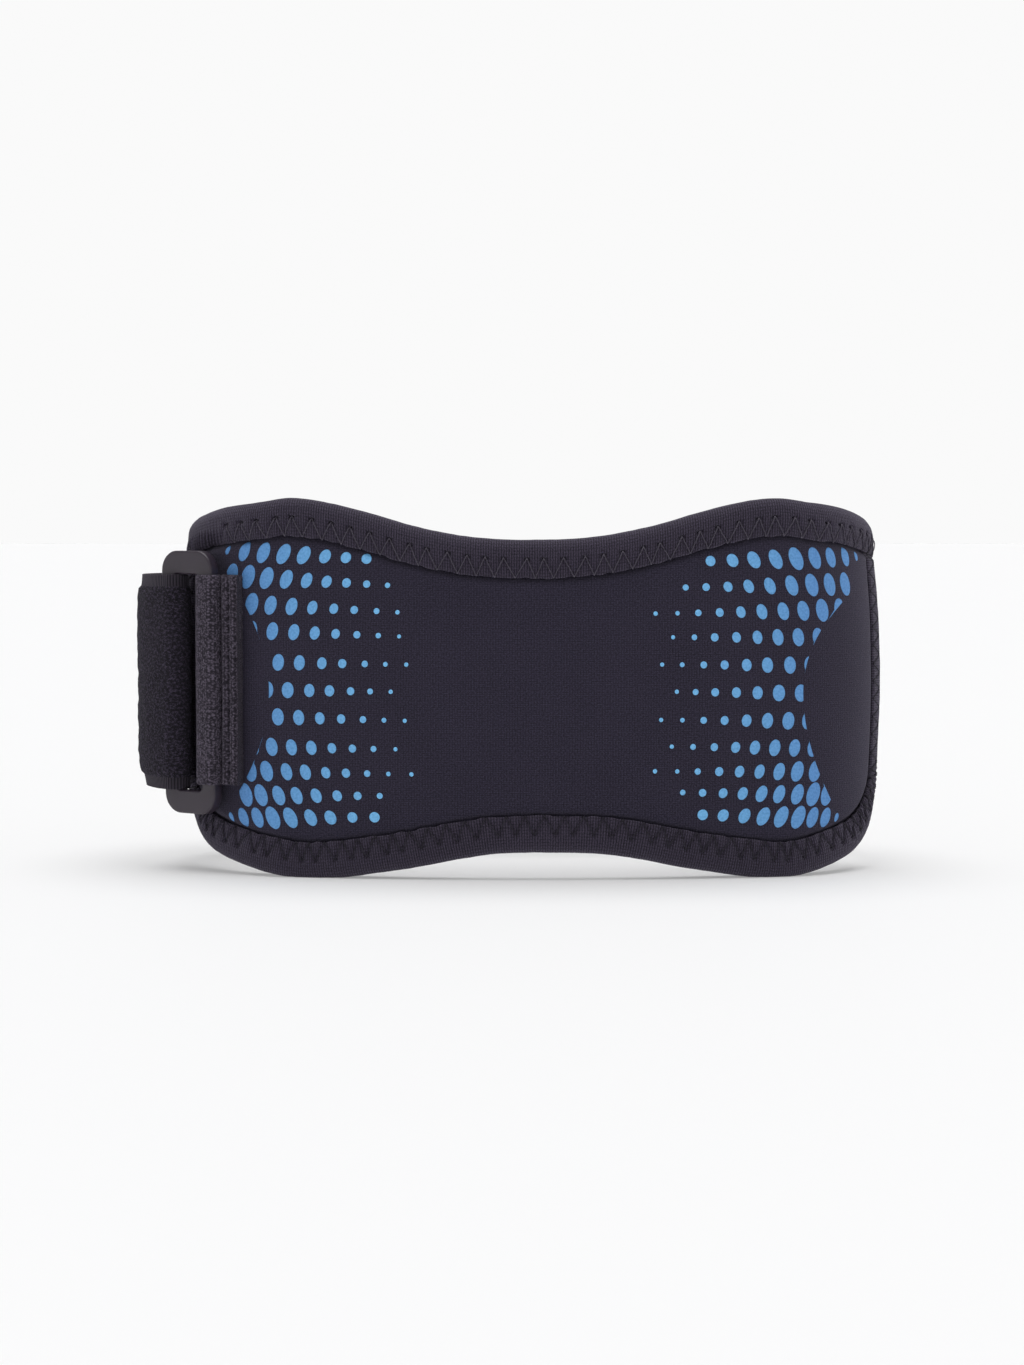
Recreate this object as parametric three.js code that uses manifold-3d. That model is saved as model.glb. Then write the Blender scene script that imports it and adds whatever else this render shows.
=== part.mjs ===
// A patella strap: a padded hourglass panel for the front of the knee, edged with knit tape, and a plush strap
// that closes the loop round the back through a plastic ring. Millimetres, +Z up, +Y away from the wearer's front.
// It stands on the panel's two lower lobes and on the strap's lower edge at the back.
import * as THREE from "three";
import { mergeVertices } from "three/addons/utils/BufferGeometryUtils.js";
import Module from "manifold-3d";

const wasm = await Module();
wasm.setup();

const { degToRad, clamp, lerp, smoothstep } = THREE.MathUtils;

// Driving dimensions
const CLEARANCE = 0.3; // between pieces that touch on the real one

const FRONT_HALF_WIDTH = 56.5; // of the nearly flat middle of the panel
const FRONT_TURN = degToRad(12); // how far the middle has turned where the ends' tighter bends begin
const RIGHT_BEND_RADIUS = 32;
const LEFT_BEND_RADIUS = 31;
const END_HEADING = degToRad(84); // the panel's direction at its two ends, 90 being straight back
const PANEL_HEIGHT = 87.5; // lobe to lobe
const PANEL_THICKNESS = 5.6;
const WAIST_TOP_DIP = 9.6;
const WAIST_BOTTOM_DIP = 6.6;
const WAIST_LEAN = 4; // the lower waist lies this far to the viewer's right of the upper one
const RIGHT_END_BULGE = 1.3; // the right end swells outward at half height
const FOOT_FLAT = 0.5; // how much the lobes are flattened where they stand
const CORNER_RADIUS = 17.5; // the two lower corners
const TOP_CORNER_RADIUS = 4;
const TOP_CORNER_DROP = 2.8; // how far the rounded corner comes down at the binding's very end
const CORNER_FULLNESS = 0.55; // of the lower corners: 0.55 is a round one, more is squarer

const BINDING_WIDTH = 8.8;
const BINDING_THICKNESS = 6.6; // over the folded edge
const BINDING_WALL = 1.1;
const BINDING_PROUD = 0.5; // stands above the panel's face
const BINDING_LAP = 0.8; // the top binding runs past the panel's ends
const FACE_EASE = 2.2; // width over which the pad swells up from the seam

const RING_HEIGHT = 61;
const RING_WIDTH = 16.8;
const RING_THICKNESS = 2.8;
const RING_END_BAR = 4.8; // the bars above and below the slot
const RING_SIDE_BAR = 4.6;
const RING_CORNER_RADIUS = 4.6;
const SLOT_CORNER_RADIUS = 1.3;
const RING_EDGE_ROUND = 1;
const RING_MIDDLE_HEIGHT = 44.4;

const TAB_WIDTH = 50;
const TAB_THICKNESS = 1.4;
const TAB_LAYER_GAP = 0.25;
const TAB_SEAM = 70.3; // from the panel's middle, along its face
const TAB_FRONT_END = 67; // where the upper layer is cut off
const TAB_BACK_END = 65.2; // where the lower layer is cut off
const TAB_FOOT_RADIUS = 0.9; // bend of the upper layer where it comes down beside the ring's bar

const STRAP_WIDTH = 50;
const STRAP_THICKNESS = 2.2;
const SELVEDGE_WIDTH = 2.8;
const SELVEDGE_THICKNESS = 1;
const STRAP_LAP = 18; // sewn to the panel's inner face
const STRAP_REACH = 92.2; // its middle surface at the far left, from the panel's middle
const LEFT_LOOP_RADIUS = 33;
const BACK_BOW = degToRad(10); // how far the strap's back turns to each side of straight across
const TAIL_ON_BACK = 24; // the turned-back end, past the left bend
const STRAP_LEVEL_LEFT = 90; // run over which it comes down to the surface behind the ring
const STRAP_LEVEL_RIGHT = 80; // the same behind the panel's right end

const HOOK_LENGTH = 36;
const HOOK_WIDTH = 44;
const HOOK_THICKNESS = 1.2;
const HOOK_FROM_END = 3;

// The hourglass outline from the middle to either end: along is a share of the half length, top a share of
// WAIST_TOP_DIP below the lobes' top, and bottom a share of WAIST_BOTTOM_DIP above the lobes' bottom.
const OUTLINE = [
  { along: 0, top: 1, bottom: 1 },
  { along: 0.12, top: 0.955, bottom: 0.95 },
  { along: 0.21, top: 0.83, bottom: 0.77 },
  { along: 0.31, top: 0.6, bottom: 0.48 },
  { along: 0.4, top: 0.34, bottom: 0.26 },
  { along: 0.5, top: 0.1, bottom: 0.06 },
  { along: 0.585, top: 0, bottom: 0 },
  { along: 0.67, top: 0.09, bottom: 0.17 },
  { along: 0.78, top: 0.21, bottom: 0.54 },
  { along: 0.88, top: 0.37, bottom: 0.93 },
  { along: 1, top: 0.56, bottom: 1.3 },
];

// The binding's outer surface from its front lip round the edge to its back lip: across is a share of
// BINDING_WIDTH in from the edge, through a share of BINDING_THICKNESS from the front.
const BINDING_SKIN = [
  { across: 1, through: 0.08 },
  { across: 0.55, through: 0 },
  { across: 0.2, through: 0.04 },
  { across: 0.05, through: 0.2 },
  { across: 0, through: 0.5 },
  { across: 0.05, through: 0.8 },
  { across: 0.2, through: 0.96 },
  { across: 0.55, through: 1 },
  { across: 1, through: 0.92 },
];

// The pad's face from the seam inwards: past is a share of FACE_EASE, swell the share of its full rise.
const PAD_SWELL = [
  { past: 0, swell: 0 },
  { past: 0.5, swell: 0.7 },
  { past: 1, swell: 1 },
];

// Plan curve of the panel's outer face: s is the length along it from the middle, to the viewer's right.
const FRONT_RADIUS = FRONT_HALF_WIDTH / Math.sin(FRONT_TURN);
const FRONT_LENGTH = FRONT_RADIUS * FRONT_TURN;
const RIGHT_LENGTH = FRONT_LENGTH + RIGHT_BEND_RADIUS * (END_HEADING - FRONT_TURN);
const LEFT_LENGTH = FRONT_LENGTH + LEFT_BEND_RADIUS * (END_HEADING - FRONT_TURN);

const lobeTop = PANEL_HEIGHT - FOOT_FLAT;
const lobeBottom = -FOOT_FLAT;
const insetOfPad = BINDING_WALL + 2 * CLEARANCE; // the pad's edge inside the folded binding
const marginDepth = BINDING_WALL + CLEARANCE - BINDING_PROUD; // the pad's face under the binding

function sideLength(s) {
  return s < 0 ? LEFT_LENGTH : RIGHT_LENGTH;
}

// Heading of the plan curve at s: 0 across the front, growing towards the back at both ends.
function headingAt(s) {
  const run = Math.abs(s);
  if (run <= FRONT_LENGTH) return run / FRONT_RADIUS;
  return FRONT_TURN + (run - FRONT_LENGTH) / (s < 0 ? LEFT_BEND_RADIUS : RIGHT_BEND_RADIUS);
}

// A point outward of the panel's face at s, in plan.
function besidePanel(s, outward) {
  const side = s < 0 ? -1 : 1;
  const heading = headingAt(s);
  let x = FRONT_RADIUS * Math.sin(Math.min(heading, FRONT_TURN));
  let y = FRONT_RADIUS * (1 - Math.cos(Math.min(heading, FRONT_TURN)));
  if (heading > FRONT_TURN) {
    const radius = s < 0 ? LEFT_BEND_RADIUS : RIGHT_BEND_RADIUS;
    x += radius * (Math.sin(heading) - Math.sin(FRONT_TURN));
    y += radius * (Math.cos(FRONT_TURN) - Math.cos(heading));
  }
  x += outward * Math.sin(heading);
  y -= outward * Math.cos(heading);
  return new THREE.Vector2(side * x, y);
}

function onPanel(s, z, depth) {
  const towardsEnd = smoothstep(s, FRONT_LENGTH, RIGHT_LENGTH);
  const swell = RIGHT_END_BULGE * towardsEnd * Math.sin(Math.PI * clamp(z / PANEL_HEIGHT, 0, 1));
  const plan = besidePanel(s, swell - depth);
  return new THREE.Vector3(plan.x, plan.y, z);
}

// Smooth reading of one column of a table, through its rows.
function readTable(table, column, along) {
  const last = table.length - 1;
  let i = 0;
  while (i < last - 1 && table[i + 1].along < along) i += 1;
  const slope = (k) => {
    const a = table[Math.max(k - 1, 0)];
    const b = table[Math.min(k + 1, last)];
    return k === 0 ? 0 : (b[column] - a[column]) / (b.along - a.along);
  };
  const [from, to] = [table[i], table[i + 1]];
  const span = to.along - from.along;
  const t = (along - from.along) / span;
  const t2 = t * t;
  const t3 = t2 * t;
  return (
    (2 * t3 - 3 * t2 + 1) * from[column] +
    (t3 - 2 * t2 + t) * span * slope(i) +
    (3 * t2 - 2 * t3) * to[column] +
    (t3 - t2) * span * slope(i + 1)
  );
}

function topEdge(s) {
  return lobeTop - WAIST_TOP_DIP * readTable(OUTLINE, "top", Math.abs(s) / sideLength(s));
}

function bottomEdge(s) {
  const leaning = s - WAIST_LEAN * (1 - (s / sideLength(s)) ** 2);
  return lobeBottom + WAIST_BOTTOM_DIP * readTable(OUTLINE, "bottom", Math.abs(leaning) / sideLength(leaning));
}

// Shares from 0 to 1 in equal steps.
function steps(count) {
  return Array.from({ length: count + 1 }, (_, i) => i / count);
}

// The lower outline from the left end's top round both lower corners to the right end's top, in (s, z).
function lowerOutline() {
  const halves = [-1, 1].map((side) => {
    const end = side * sideLength(side);
    const from = end - side * CORNER_RADIUS;
    const floor = bottomEdge(from);
    const slope = (bottomEdge(from + side) - floor) * CORNER_RADIUS;
    const corner = new THREE.CubicBezierCurve(
      new THREE.Vector2(from, floor),
      new THREE.Vector2(from + side * CORNER_FULLNESS * CORNER_RADIUS, floor + CORNER_FULLNESS * slope),
      new THREE.Vector2(end, floor + (1 - CORNER_FULLNESS) * CORNER_RADIUS + slope / 2),
      new THREE.Vector2(end, floor + CORNER_RADIUS + slope / 2),
    ).getPoints(9);
    const top = topEdge(end) - BINDING_WIDTH - CLEARANCE;
    const start = corner.at(-1).y;
    const rise = steps(6)
      .slice(1)
      .map((t) => new THREE.Vector2(end, lerp(start, top, t)));
    return [...corner, ...rise];
  });
  const [left, right] = halves;
  const bottom = steps(34)
    .slice(1, -1)
    .map((t) => {
      const s = lerp(left[0].x, right[0].x, t);
      return new THREE.Vector2(s, bottomEdge(s));
    });
  return [...left.reverse(), ...bottom, ...right];
}

// Each point of an outline with its outward direction; the outline runs with the panel on its left.
function withOutward(points) {
  return points.map((at, i) => {
    const along = points[Math.min(i + 1, points.length - 1)].clone().sub(points[Math.max(i - 1, 0)]).normalize();
    return { at, outward: new THREE.Vector2(along.y, -along.x) };
  });
}

const lowerStations = withOutward(lowerOutline());

// Height of the lower outline moved in by inset, at s or where it turns up short of s.
function insetBottom(s, inset) {
  const reach = (side) => sideLength(side) - inset - CLEARANCE;
  const within = clamp(s, -reach(-1), reach(1));
  const moved = lowerStations.map(({ at, outward }) => at.clone().addScaledVector(outward, -inset));
  const i = moved.findIndex((p, k) => k < moved.length - 1 && p.x <= within && within < moved[k + 1].x);
  const [a, b] = [moved[i], moved[i + 1]];
  return lerp(a.y, b.y, (within - a.x) / (b.x - a.x));
}

// A flat section cut into triangles that run the way its outline does.
function capTriangles(section) {
  const runsLeft = THREE.ShapeUtils.area(section) > 0;
  return THREE.ShapeUtils.triangulateShape(section, []).map(([a, b, c]) => {
    const left = THREE.ShapeUtils.area([section[a], section[b], section[c]]) > 0;
    return left === runsLeft ? [a, b, c] : [a, c, b];
  });
}

// A closed body swept through rings of points; its flat section gives the two end caps.
function sweptBody(rings, section) {
  const count = section.length;
  const caps = capTriangles(section);
  const index = [];
  for (let i = 0; i < rings.length - 1; i += 1) {
    for (let j = 0; j < count; j += 1) {
      const k = (j + 1) % count;
      const [a, b, c, d] = [i * count + j, i * count + k, (i + 1) * count + k, (i + 1) * count + j];
      index.push(a, b, c, a, c, d);
    }
  }
  const last = (rings.length - 1) * count;
  caps.forEach(([a, b, c]) => index.push(c, b, a, last + a, last + b, last + c));
  const body = new THREE.BufferGeometry();
  body.setAttribute("position", new THREE.Float32BufferAttribute(rings.flat().flatMap((p) => p.toArray()), 3));
  body.setIndex(index);
  return facingOut(body);
}

// Turns the faces round if they point inwards.
function facingOut(body) {
  const at = body.getAttribute("position");
  const corner = (i) => new THREE.Vector3().fromBufferAttribute(at, body.index.array[i]);
  let volume = 0;
  for (let i = 0; i < body.index.count; i += 3) {
    volume += corner(i).dot(corner(i + 1).cross(corner(i + 2)));
  }
  if (volume < 0) {
    const turned = Array.from(body.index.array);
    for (let i = 0; i < turned.length; i += 3) [turned[i + 1], turned[i + 2]] = [turned[i + 2], turned[i + 1]];
    body.setIndex(turned);
  }
  return body;
}

function asSolid(geometry) {
  const bare = geometry.clone();
  bare.deleteAttribute("normal");
  bare.deleteAttribute("uv");
  const merged = mergeVertices(bare, 1e-4);
  return new wasm.Manifold(
    new wasm.Mesh({
      numProp: 3,
      vertProperties: new Float32Array(merged.attributes.position.array),
      triVerts: new Uint32Array(merged.index.array),
    }),
  );
}

function asGeometry(solid) {
  const mesh = solid.getMesh();
  const geometry = new THREE.BufferGeometry();
  geometry.setAttribute("position", new THREE.Float32BufferAttribute(mesh.vertProperties, 3));
  geometry.setIndex(Array.from(mesh.triVerts));
  return geometry;
}

// Cuts off what lies below the surface that the strap stands on.
function standing(geometry) {
  const reach = 4 * STRAP_REACH;
  const below = new THREE.BoxGeometry(reach, reach, reach);
  below.translate(0, 0, -reach / 2);
  return asGeometry(asSolid(geometry).subtract(asSolid(below)));
}

// The pad: full thickness inside the seam, thinner where the binding folds over it.
function frontPanel() {
  const edges = [insetOfPad, ...PAD_SWELL.map(({ past }) => BINDING_WIDTH + past * FACE_EASE)];
  const swell = [0, ...PAD_SWELL.map((row) => row.swell)];
  const ends = [-1, 1].map((side) => edges.map((inset) => side * (sideLength(side) - inset)));
  const stations = [
    ...ends[0].map((s, i) => ({ s, swell: swell[i] })),
    ...steps(32)
      .slice(1, -1)
      .map((t) => ({ s: lerp(ends[0].at(-1), ends[1].at(-1), t), swell: 1 })),
    ...ends[1].map((s, i) => ({ s, swell: swell[i] })).reverse(),
  ];
  const rings = stations.map((station) => {
    const low = edges.map((inset) => insetBottom(station.s, inset));
    const high = edges.map((inset) => topEdge(station.s) - inset);
    const face = (share) => marginDepth * (1 - Math.min(share, station.swell));
    const between = steps(5)
      .slice(1, -1)
      .map((t) => [lerp(low.at(-1), high.at(-1), t), face(1)]);
    const front = [
      ...low.map((z, i) => [z, face(swell[i])]),
      ...between,
      ...high.map((z, i) => [z, face(swell[i])]).reverse(),
    ];
    const back = front.map(([z, depth]) => [z, PANEL_THICKNESS - depth]).reverse();
    return [...front, ...back].map(([z, depth]) => onPanel(station.s, z, depth));
  });
  const middle = rings[rings.length >> 1];
  return sweptBody(rings, middle.map((p) => new THREE.Vector2(p.z, p.y)));
}

// Section of the folded tape, in (distance in from the edge, depth below the panel's face).
function bindingSection() {
  const skin = BINDING_SKIN.map(
    ({ across, through }) => new THREE.Vector2(across * BINDING_WIDTH, through * BINDING_THICKNESS - BINDING_PROUD),
  );
  const front = BINDING_WALL - BINDING_PROUD;
  const back = BINDING_THICKNESS - BINDING_WALL - BINDING_PROUD;
  return [
    ...skin,
    new THREE.Vector2(BINDING_WIDTH, back),
    new THREE.Vector2(BINDING_WALL + CLEARANCE, back),
    new THREE.Vector2(BINDING_WALL, (front + back) / 2),
    new THREE.Vector2(BINDING_WALL + CLEARANCE, front),
    new THREE.Vector2(BINDING_WIDTH, front),
  ];
}

function bottomBinding() {
  const section = bindingSection();
  const rings = lowerStations.map(({ at, outward }) =>
    section.map((p) => onPanel(at.x - outward.x * p.x, at.y - outward.y * p.x, p.y)),
  );
  return standing(sweptBody(rings, section));
}

function topBinding() {
  const section = bindingSection();
  const from = -(LEFT_LENGTH + BINDING_LAP);
  const to = RIGHT_LENGTH + BINDING_LAP;
  const rounding = [0, 0.25, 0.6].map((t) => t * TOP_CORNER_RADIUS);
  const stations = [
    ...rounding.map((d) => from + d),
    ...steps(40).map((t) => lerp(from + TOP_CORNER_RADIUS, to - TOP_CORNER_RADIUS, t)),
    ...rounding.map((d) => to - d).reverse(),
  ];
  const rings = stations.map((s) => {
    const within = clamp(Math.min(s - from, to - s) / TOP_CORNER_RADIUS, 0, 1);
    const drop = TOP_CORNER_DROP * (1 - Math.sqrt(1 - (1 - within) ** 2));
    const edge = topEdge(clamp(s, -LEFT_LENGTH, RIGHT_LENGTH));
    const squeeze = (BINDING_WIDTH - drop) / BINDING_WIDTH;
    return section.map((p) => onPanel(s, edge - drop - p.x * squeeze, p.y));
  });
  return sweptBody(rings, section);
}

// The ring's place: its right bar lies in the tab, in line with the panel's face at the tab's seam.
const ringTilt = headingAt(-TAB_SEAM);
const ringAlong = new THREE.Vector2(Math.cos(ringTilt), -Math.sin(ringTilt)); // from the left bar to the right bar
const ringOut = new THREE.Vector2(-Math.sin(ringTilt), -Math.cos(ringTilt)); // away from the panel
const barHalfThickness = RING_THICKNESS / 2;
const barHalfWidth = RING_SIDE_BAR / 2;
const barStraight = barHalfWidth - barHalfThickness; // from a bar's middle to where what wraps it starts to turn
const tabBackRise = CLEARANCE + TAB_THICKNESS / 2; // middle of the tab's lower layer above the panel's face
const tabFrontRise = tabBackRise + TAB_THICKNESS + TAB_LAYER_GAP;
const ringRise = CLEARANCE + TAB_THICKNESS + CLEARANCE + barHalfThickness;
const tabWrap = barHalfThickness + CLEARANCE + TAB_THICKNESS / 2;
const strapWrap = barHalfThickness + CLEARANCE + STRAP_THICKNESS / 2;

// The upper layer comes down from the bar in two bends; footTurn is the angle of each.
const footDrop = tabFrontRise - ringRise;
const footTurn = Math.acos((TAB_FOOT_RADIUS + footDrop) / (tabWrap + TAB_FOOT_RADIUS));
const seamToBar = barStraight + (tabWrap + TAB_FOOT_RADIUS) * Math.sin(footTurn);

const rightBar = besidePanel(-TAB_SEAM, ringRise).addScaledVector(ringAlong, -seamToBar);
const leftBar = rightBar.clone().addScaledVector(ringAlong, -(RING_WIDTH - RING_SIDE_BAR));

function roundedRectangle(path, width, height, radius) {
  const x = width / 2;
  const y = height / 2;
  path.moveTo(-x + radius, -y);
  path.lineTo(x - radius, -y);
  path.absarc(x - radius, -y + radius, radius, -Math.PI / 2, 0);
  path.lineTo(x, y - radius);
  path.absarc(x - radius, y - radius, radius, 0, Math.PI / 2);
  path.lineTo(-x + radius, y);
  path.absarc(-x + radius, y - radius, radius, Math.PI / 2, Math.PI);
  path.lineTo(-x, -y + radius);
  path.absarc(-x + radius, -y + radius, radius, Math.PI, 1.5 * Math.PI);
  path.closePath();
  return path;
}

function ring() {
  const outer = roundedRectangle(new THREE.Shape(), RING_WIDTH, RING_HEIGHT, RING_CORNER_RADIUS);
  const slotWidth = RING_WIDTH - 2 * RING_SIDE_BAR;
  const slotHeight = RING_HEIGHT - 2 * RING_END_BAR;
  outer.holes.push(roundedRectangle(new THREE.Path(), slotWidth, slotHeight, SLOT_CORNER_RADIUS));
  const body = new THREE.ExtrudeGeometry(outer, {
    depth: RING_THICKNESS - 2 * RING_EDGE_ROUND,
    bevelThickness: RING_EDGE_ROUND,
    bevelSize: RING_EDGE_ROUND,
    bevelOffset: -RING_EDGE_ROUND,
    bevelSegments: 2,
    curveSegments: 5,
  });
  body.translate(0, 0, RING_EDGE_ROUND - RING_THICKNESS / 2);
  const middle = leftBar.clone().add(rightBar).multiplyScalar(0.5);
  const place = new THREE.Matrix4().makeBasis(
    new THREE.Vector3(ringAlong.x, ringAlong.y, 0),
    new THREE.Vector3(0, 0, 1),
    new THREE.Vector3(ringOut.x, ringOut.y, 0),
  );
  place.setPosition(middle.x, middle.y, RING_MIDDLE_HEIGHT);
  body.applyMatrix4(place);
  return asGeometry(asSolid(body));
}

// A route seen from above, laid down bend by bend; loop is how far round the knee each point lies.
class Route {
  constructor(at, heading, loop = 0) {
    this.points = [{ at: at.clone(), heading, loop }];
  }

  get end() {
    return this.points.at(-1);
  }

  forward(length) {
    const { at, heading, loop } = this.end;
    const there = at.clone().add(new THREE.Vector2(Math.cos(heading), Math.sin(heading)).multiplyScalar(length));
    this.points.push({ at: there, heading, loop });
    return this;
  }

  // Positive angles turn left; loopRun is how far round the knee the bend goes.
  bend(radius, angle, count, loopRun = 0) {
    const { at, heading, loop } = this.end;
    const side = Math.sign(angle);
    const centre = at.clone().add(
      new THREE.Vector2(-Math.sin(heading), Math.cos(heading)).multiplyScalar(side * radius),
    );
    steps(count)
      .slice(1)
      .forEach((t) => {
        const turned = heading + angle * t;
        const there = centre.clone().add(
          new THREE.Vector2(Math.sin(turned), -Math.cos(turned)).multiplyScalar(side * radius),
        );
        this.points.push({ at: there, heading: turned, loop: loop + loopRun * t });
      });
    return this;
  }
}

// A flat band on edge along a route: section gives (through, height) and middle the height of its middle.
function band(points, section, middle) {
  const rings = points.map((point) => {
    const left = new THREE.Vector2(-Math.sin(point.heading), Math.cos(point.heading));
    return section.map((p) => {
      const plan = point.at.clone().addScaledVector(left, p.x);
      return new THREE.Vector3(plan.x, plan.y, middle(point) + p.y);
    });
  });
  return sweptBody(rings, section);
}

function plainSection(thickness, width) {
  const [x, y] = [thickness / 2, width / 2];
  return [
    new THREE.Vector2(-x, -y),
    new THREE.Vector2(x, -y),
    new THREE.Vector2(x, y),
    new THREE.Vector2(-x, y),
  ];
}

// The webbing tab: along the panel under itself, round the ring's right bar and back over itself.
function ringTab() {
  const along = (s, rise) => ({
    at: besidePanel(-s, rise),
    heading: Math.PI - headingAt(-s),
    loop: 0,
  });
  const onSeam = along(TAB_SEAM, tabBackRise);
  const lower = steps(4).map((t) => along(lerp(TAB_BACK_END, TAB_SEAM, t), tabBackRise));
  const upper = steps(3).map((t) => {
    const point = along(lerp(TAB_SEAM, TAB_FRONT_END, t), tabFrontRise);
    return { ...point, heading: point.heading - Math.PI };
  });
  const round = new Route(onSeam.at, onSeam.heading)
    .forward(seamToBar + barStraight)
    .bend(tabWrap, Math.PI, 8)
    .forward(2 * barStraight)
    .bend(tabWrap, footTurn, 4)
    .bend(TAB_FOOT_RADIUS, -footTurn, 3);
  const points = [...lower, ...round.points.slice(1, -1), ...upper];
  return band(points, plainSection(TAB_THICKNESS, TAB_WIDTH), () => RING_MIDDLE_HEIGHT);
}

// The strap's two runs lie one on the other at the back, with the hook patch between them.
const runSpacing = STRAP_THICKNESS + HOOK_THICKNESS + 2 * CLEARANCE;
const lapRise = -(BINDING_THICKNESS - BINDING_PROUD + CLEARANCE + STRAP_THICKNESS / 2);
const halfTurn = Math.PI / 2 - ringTilt; // from straight forward or back to the ring's own direction

// Radius of a bend through angle that moves the route sideways by shift.
function radiusForShift(shift, angle) {
  return shift / (1 - Math.cos(angle));
}

// The loop's bends, worked out from the panel's right end, the ring and how far out the strap stands.
function loopBends() {
  const start = besidePanel(RIGHT_LENGTH, lapRise);
  const innerAtBar = leftBar.clone().addScaledVector(ringOut, -strapWrap);
  const outerAtBar = leftBar.clone().addScaledVector(ringOut, strapWrap);
  const innerReach = runSpacing - STRAP_REACH;
  const intoSlot = radiusForShift(innerAtBar.x - innerReach, halfTurn);
  const fromBar = radiusForShift(outerAtBar.x + STRAP_REACH, halfTurn);
  const turnIn = new THREE.Vector2(innerReach, innerAtBar.y + intoSlot * Math.sin(halfTurn));
  const outerTurnIn = outerAtBar.y + fromBar * Math.sin(halfTurn);
  const rightAngle = Math.PI - BACK_BOW - END_HEADING;
  const leftAngle = Math.PI / 2 - BACK_BOW;
  const dropLeft = LEFT_LOOP_RADIUS * Math.cos(BACK_BOW);
  const rightRadius = (turnIn.y + dropLeft - start.y) / (Math.cos(END_HEADING) + Math.cos(BACK_BOW));
  const rightShift = rightRadius * (Math.sin(END_HEADING) - Math.sin(BACK_BOW));
  const leftShift = LEFT_LOOP_RADIUS * (1 - Math.sin(BACK_BOW));
  const backRadius = (start.x - turnIn.x - rightShift - leftShift) / (2 * Math.sin(BACK_BOW));
  return { start, intoSlot, fromBar, turnIn, outerTurnIn, rightAngle, leftAngle, rightRadius, backRadius };
}

const bends = loopBends();
const rightRun = bends.rightRadius * bends.rightAngle;
const backRun = bends.backRadius * 2 * BACK_BOW;
const leftRun = LEFT_LOOP_RADIUS * bends.leftAngle;
const loopRun = rightRun + backRun + leftRun;

// Height of the strap's middle: level at the ring and at the panel, down on the surface at the back.
function strapMiddle({ loop }) {
  const drop = RING_MIDDLE_HEIGHT - STRAP_WIDTH / 2;
  const fromRight = smoothstep(loop, 0, STRAP_LEVEL_RIGHT);
  const fromLeft = smoothstep(loopRun - loop, 0, STRAP_LEVEL_LEFT);
  return RING_MIDDLE_HEIGHT - drop * Math.min(fromRight, fromLeft);
}

function strapRoute() {
  const lap = steps(4).map((t) => {
    const s = RIGHT_LENGTH - STRAP_LAP * (1 - t);
    return { at: besidePanel(s, lapRise), heading: headingAt(s), loop: 0 };
  });
  const round = new Route(bends.start, END_HEADING)
    .bend(bends.rightRadius, bends.rightAngle, 10, rightRun)
    .bend(bends.backRadius, 2 * BACK_BOW, 16, backRun)
    .bend(LEFT_LOOP_RADIUS, bends.leftAngle, 10, leftRun)
    .bend(bends.intoSlot, halfTurn, 5)
    .forward(barStraight)
    .bend(strapWrap, -Math.PI, 8)
    .forward(barStraight)
    .bend(bends.fromBar, -halfTurn, 5)
    .forward(bends.turnIn.y - bends.outerTurnIn)
    .bend(LEFT_LOOP_RADIUS + runSpacing, -bends.leftAngle, 10, -leftRun)
    .bend(bends.backRadius + runSpacing, -TAIL_ON_BACK / bends.backRadius, 4, -TAIL_ON_BACK);
  return [...lap, ...round.points.slice(1)];
}

function strap() {
  const [plush, thin] = [STRAP_THICKNESS / 2, SELVEDGE_THICKNESS / 2];
  const edge = STRAP_WIDTH / 2;
  const shoulder = edge - SELVEDGE_WIDTH;
  const right = [
    new THREE.Vector2(thin, -edge),
    new THREE.Vector2(thin, -shoulder),
    new THREE.Vector2(plush, -shoulder + plush - thin),
    new THREE.Vector2(plush, shoulder - plush + thin),
    new THREE.Vector2(thin, shoulder),
    new THREE.Vector2(thin, edge),
  ];
  const left = right.map((p) => new THREE.Vector2(-p.x, p.y)).reverse();
  return band(strapRoute(), [...right, ...left], strapMiddle);
}

function hookPatch() {
  const rise = runSpacing / 2;
  const tail = new Route(new THREE.Vector2(bends.turnIn.x - rise, bends.turnIn.y), Math.PI / 2, loopRun)
    .bend(LEFT_LOOP_RADIUS + rise, -bends.leftAngle, 20, -leftRun)
    .bend(bends.backRadius + rise, -TAIL_ON_BACK / bends.backRadius, 8, -TAIL_ON_BACK).points;
  const end = tail.at(-1).loop + HOOK_FROM_END;
  const points = tail.filter(({ loop }) => loop >= end && loop <= end + HOOK_LENGTH);
  return band(points, plainSection(HOOK_THICKNESS, HOOK_WIDTH), strapMiddle);
}

const finishes = {
  jersey: new THREE.MeshStandardMaterial({ color: 0x2b282f, roughness: 0.85, metalness: 0 }),
  knitTape: new THREE.MeshStandardMaterial({ color: 0x2f2b33, roughness: 0.9, metalness: 0 }),
  webbing: new THREE.MeshStandardMaterial({ color: 0x35303a, roughness: 0.9, metalness: 0 }),
  plush: new THREE.MeshStandardMaterial({ color: 0x28252c, roughness: 0.95, metalness: 0 }),
  hooks: new THREE.MeshStandardMaterial({ color: 0x1c1b1e, roughness: 0.6, metalness: 0 }),
  plastic: new THREE.MeshStandardMaterial({ color: 0x464248, roughness: 0.45, metalness: 0 }),
};

const patellaStrap = new THREE.Group();
[
  ["front_panel", frontPanel, finishes.jersey],
  ["top_binding", topBinding, finishes.knitTape],
  ["bottom_binding", bottomBinding, finishes.knitTape],
  ["ring", ring, finishes.plastic],
  ["ring_tab", ringTab, finishes.webbing],
  ["strap", strap, finishes.plush],
  ["hook_patch", hookPatch, finishes.hooks],
].forEach(([name, build, material]) => {
  const piece = new THREE.Mesh(build(), material);
  piece.name = name;
  patellaStrap.add(piece);
});

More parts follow.
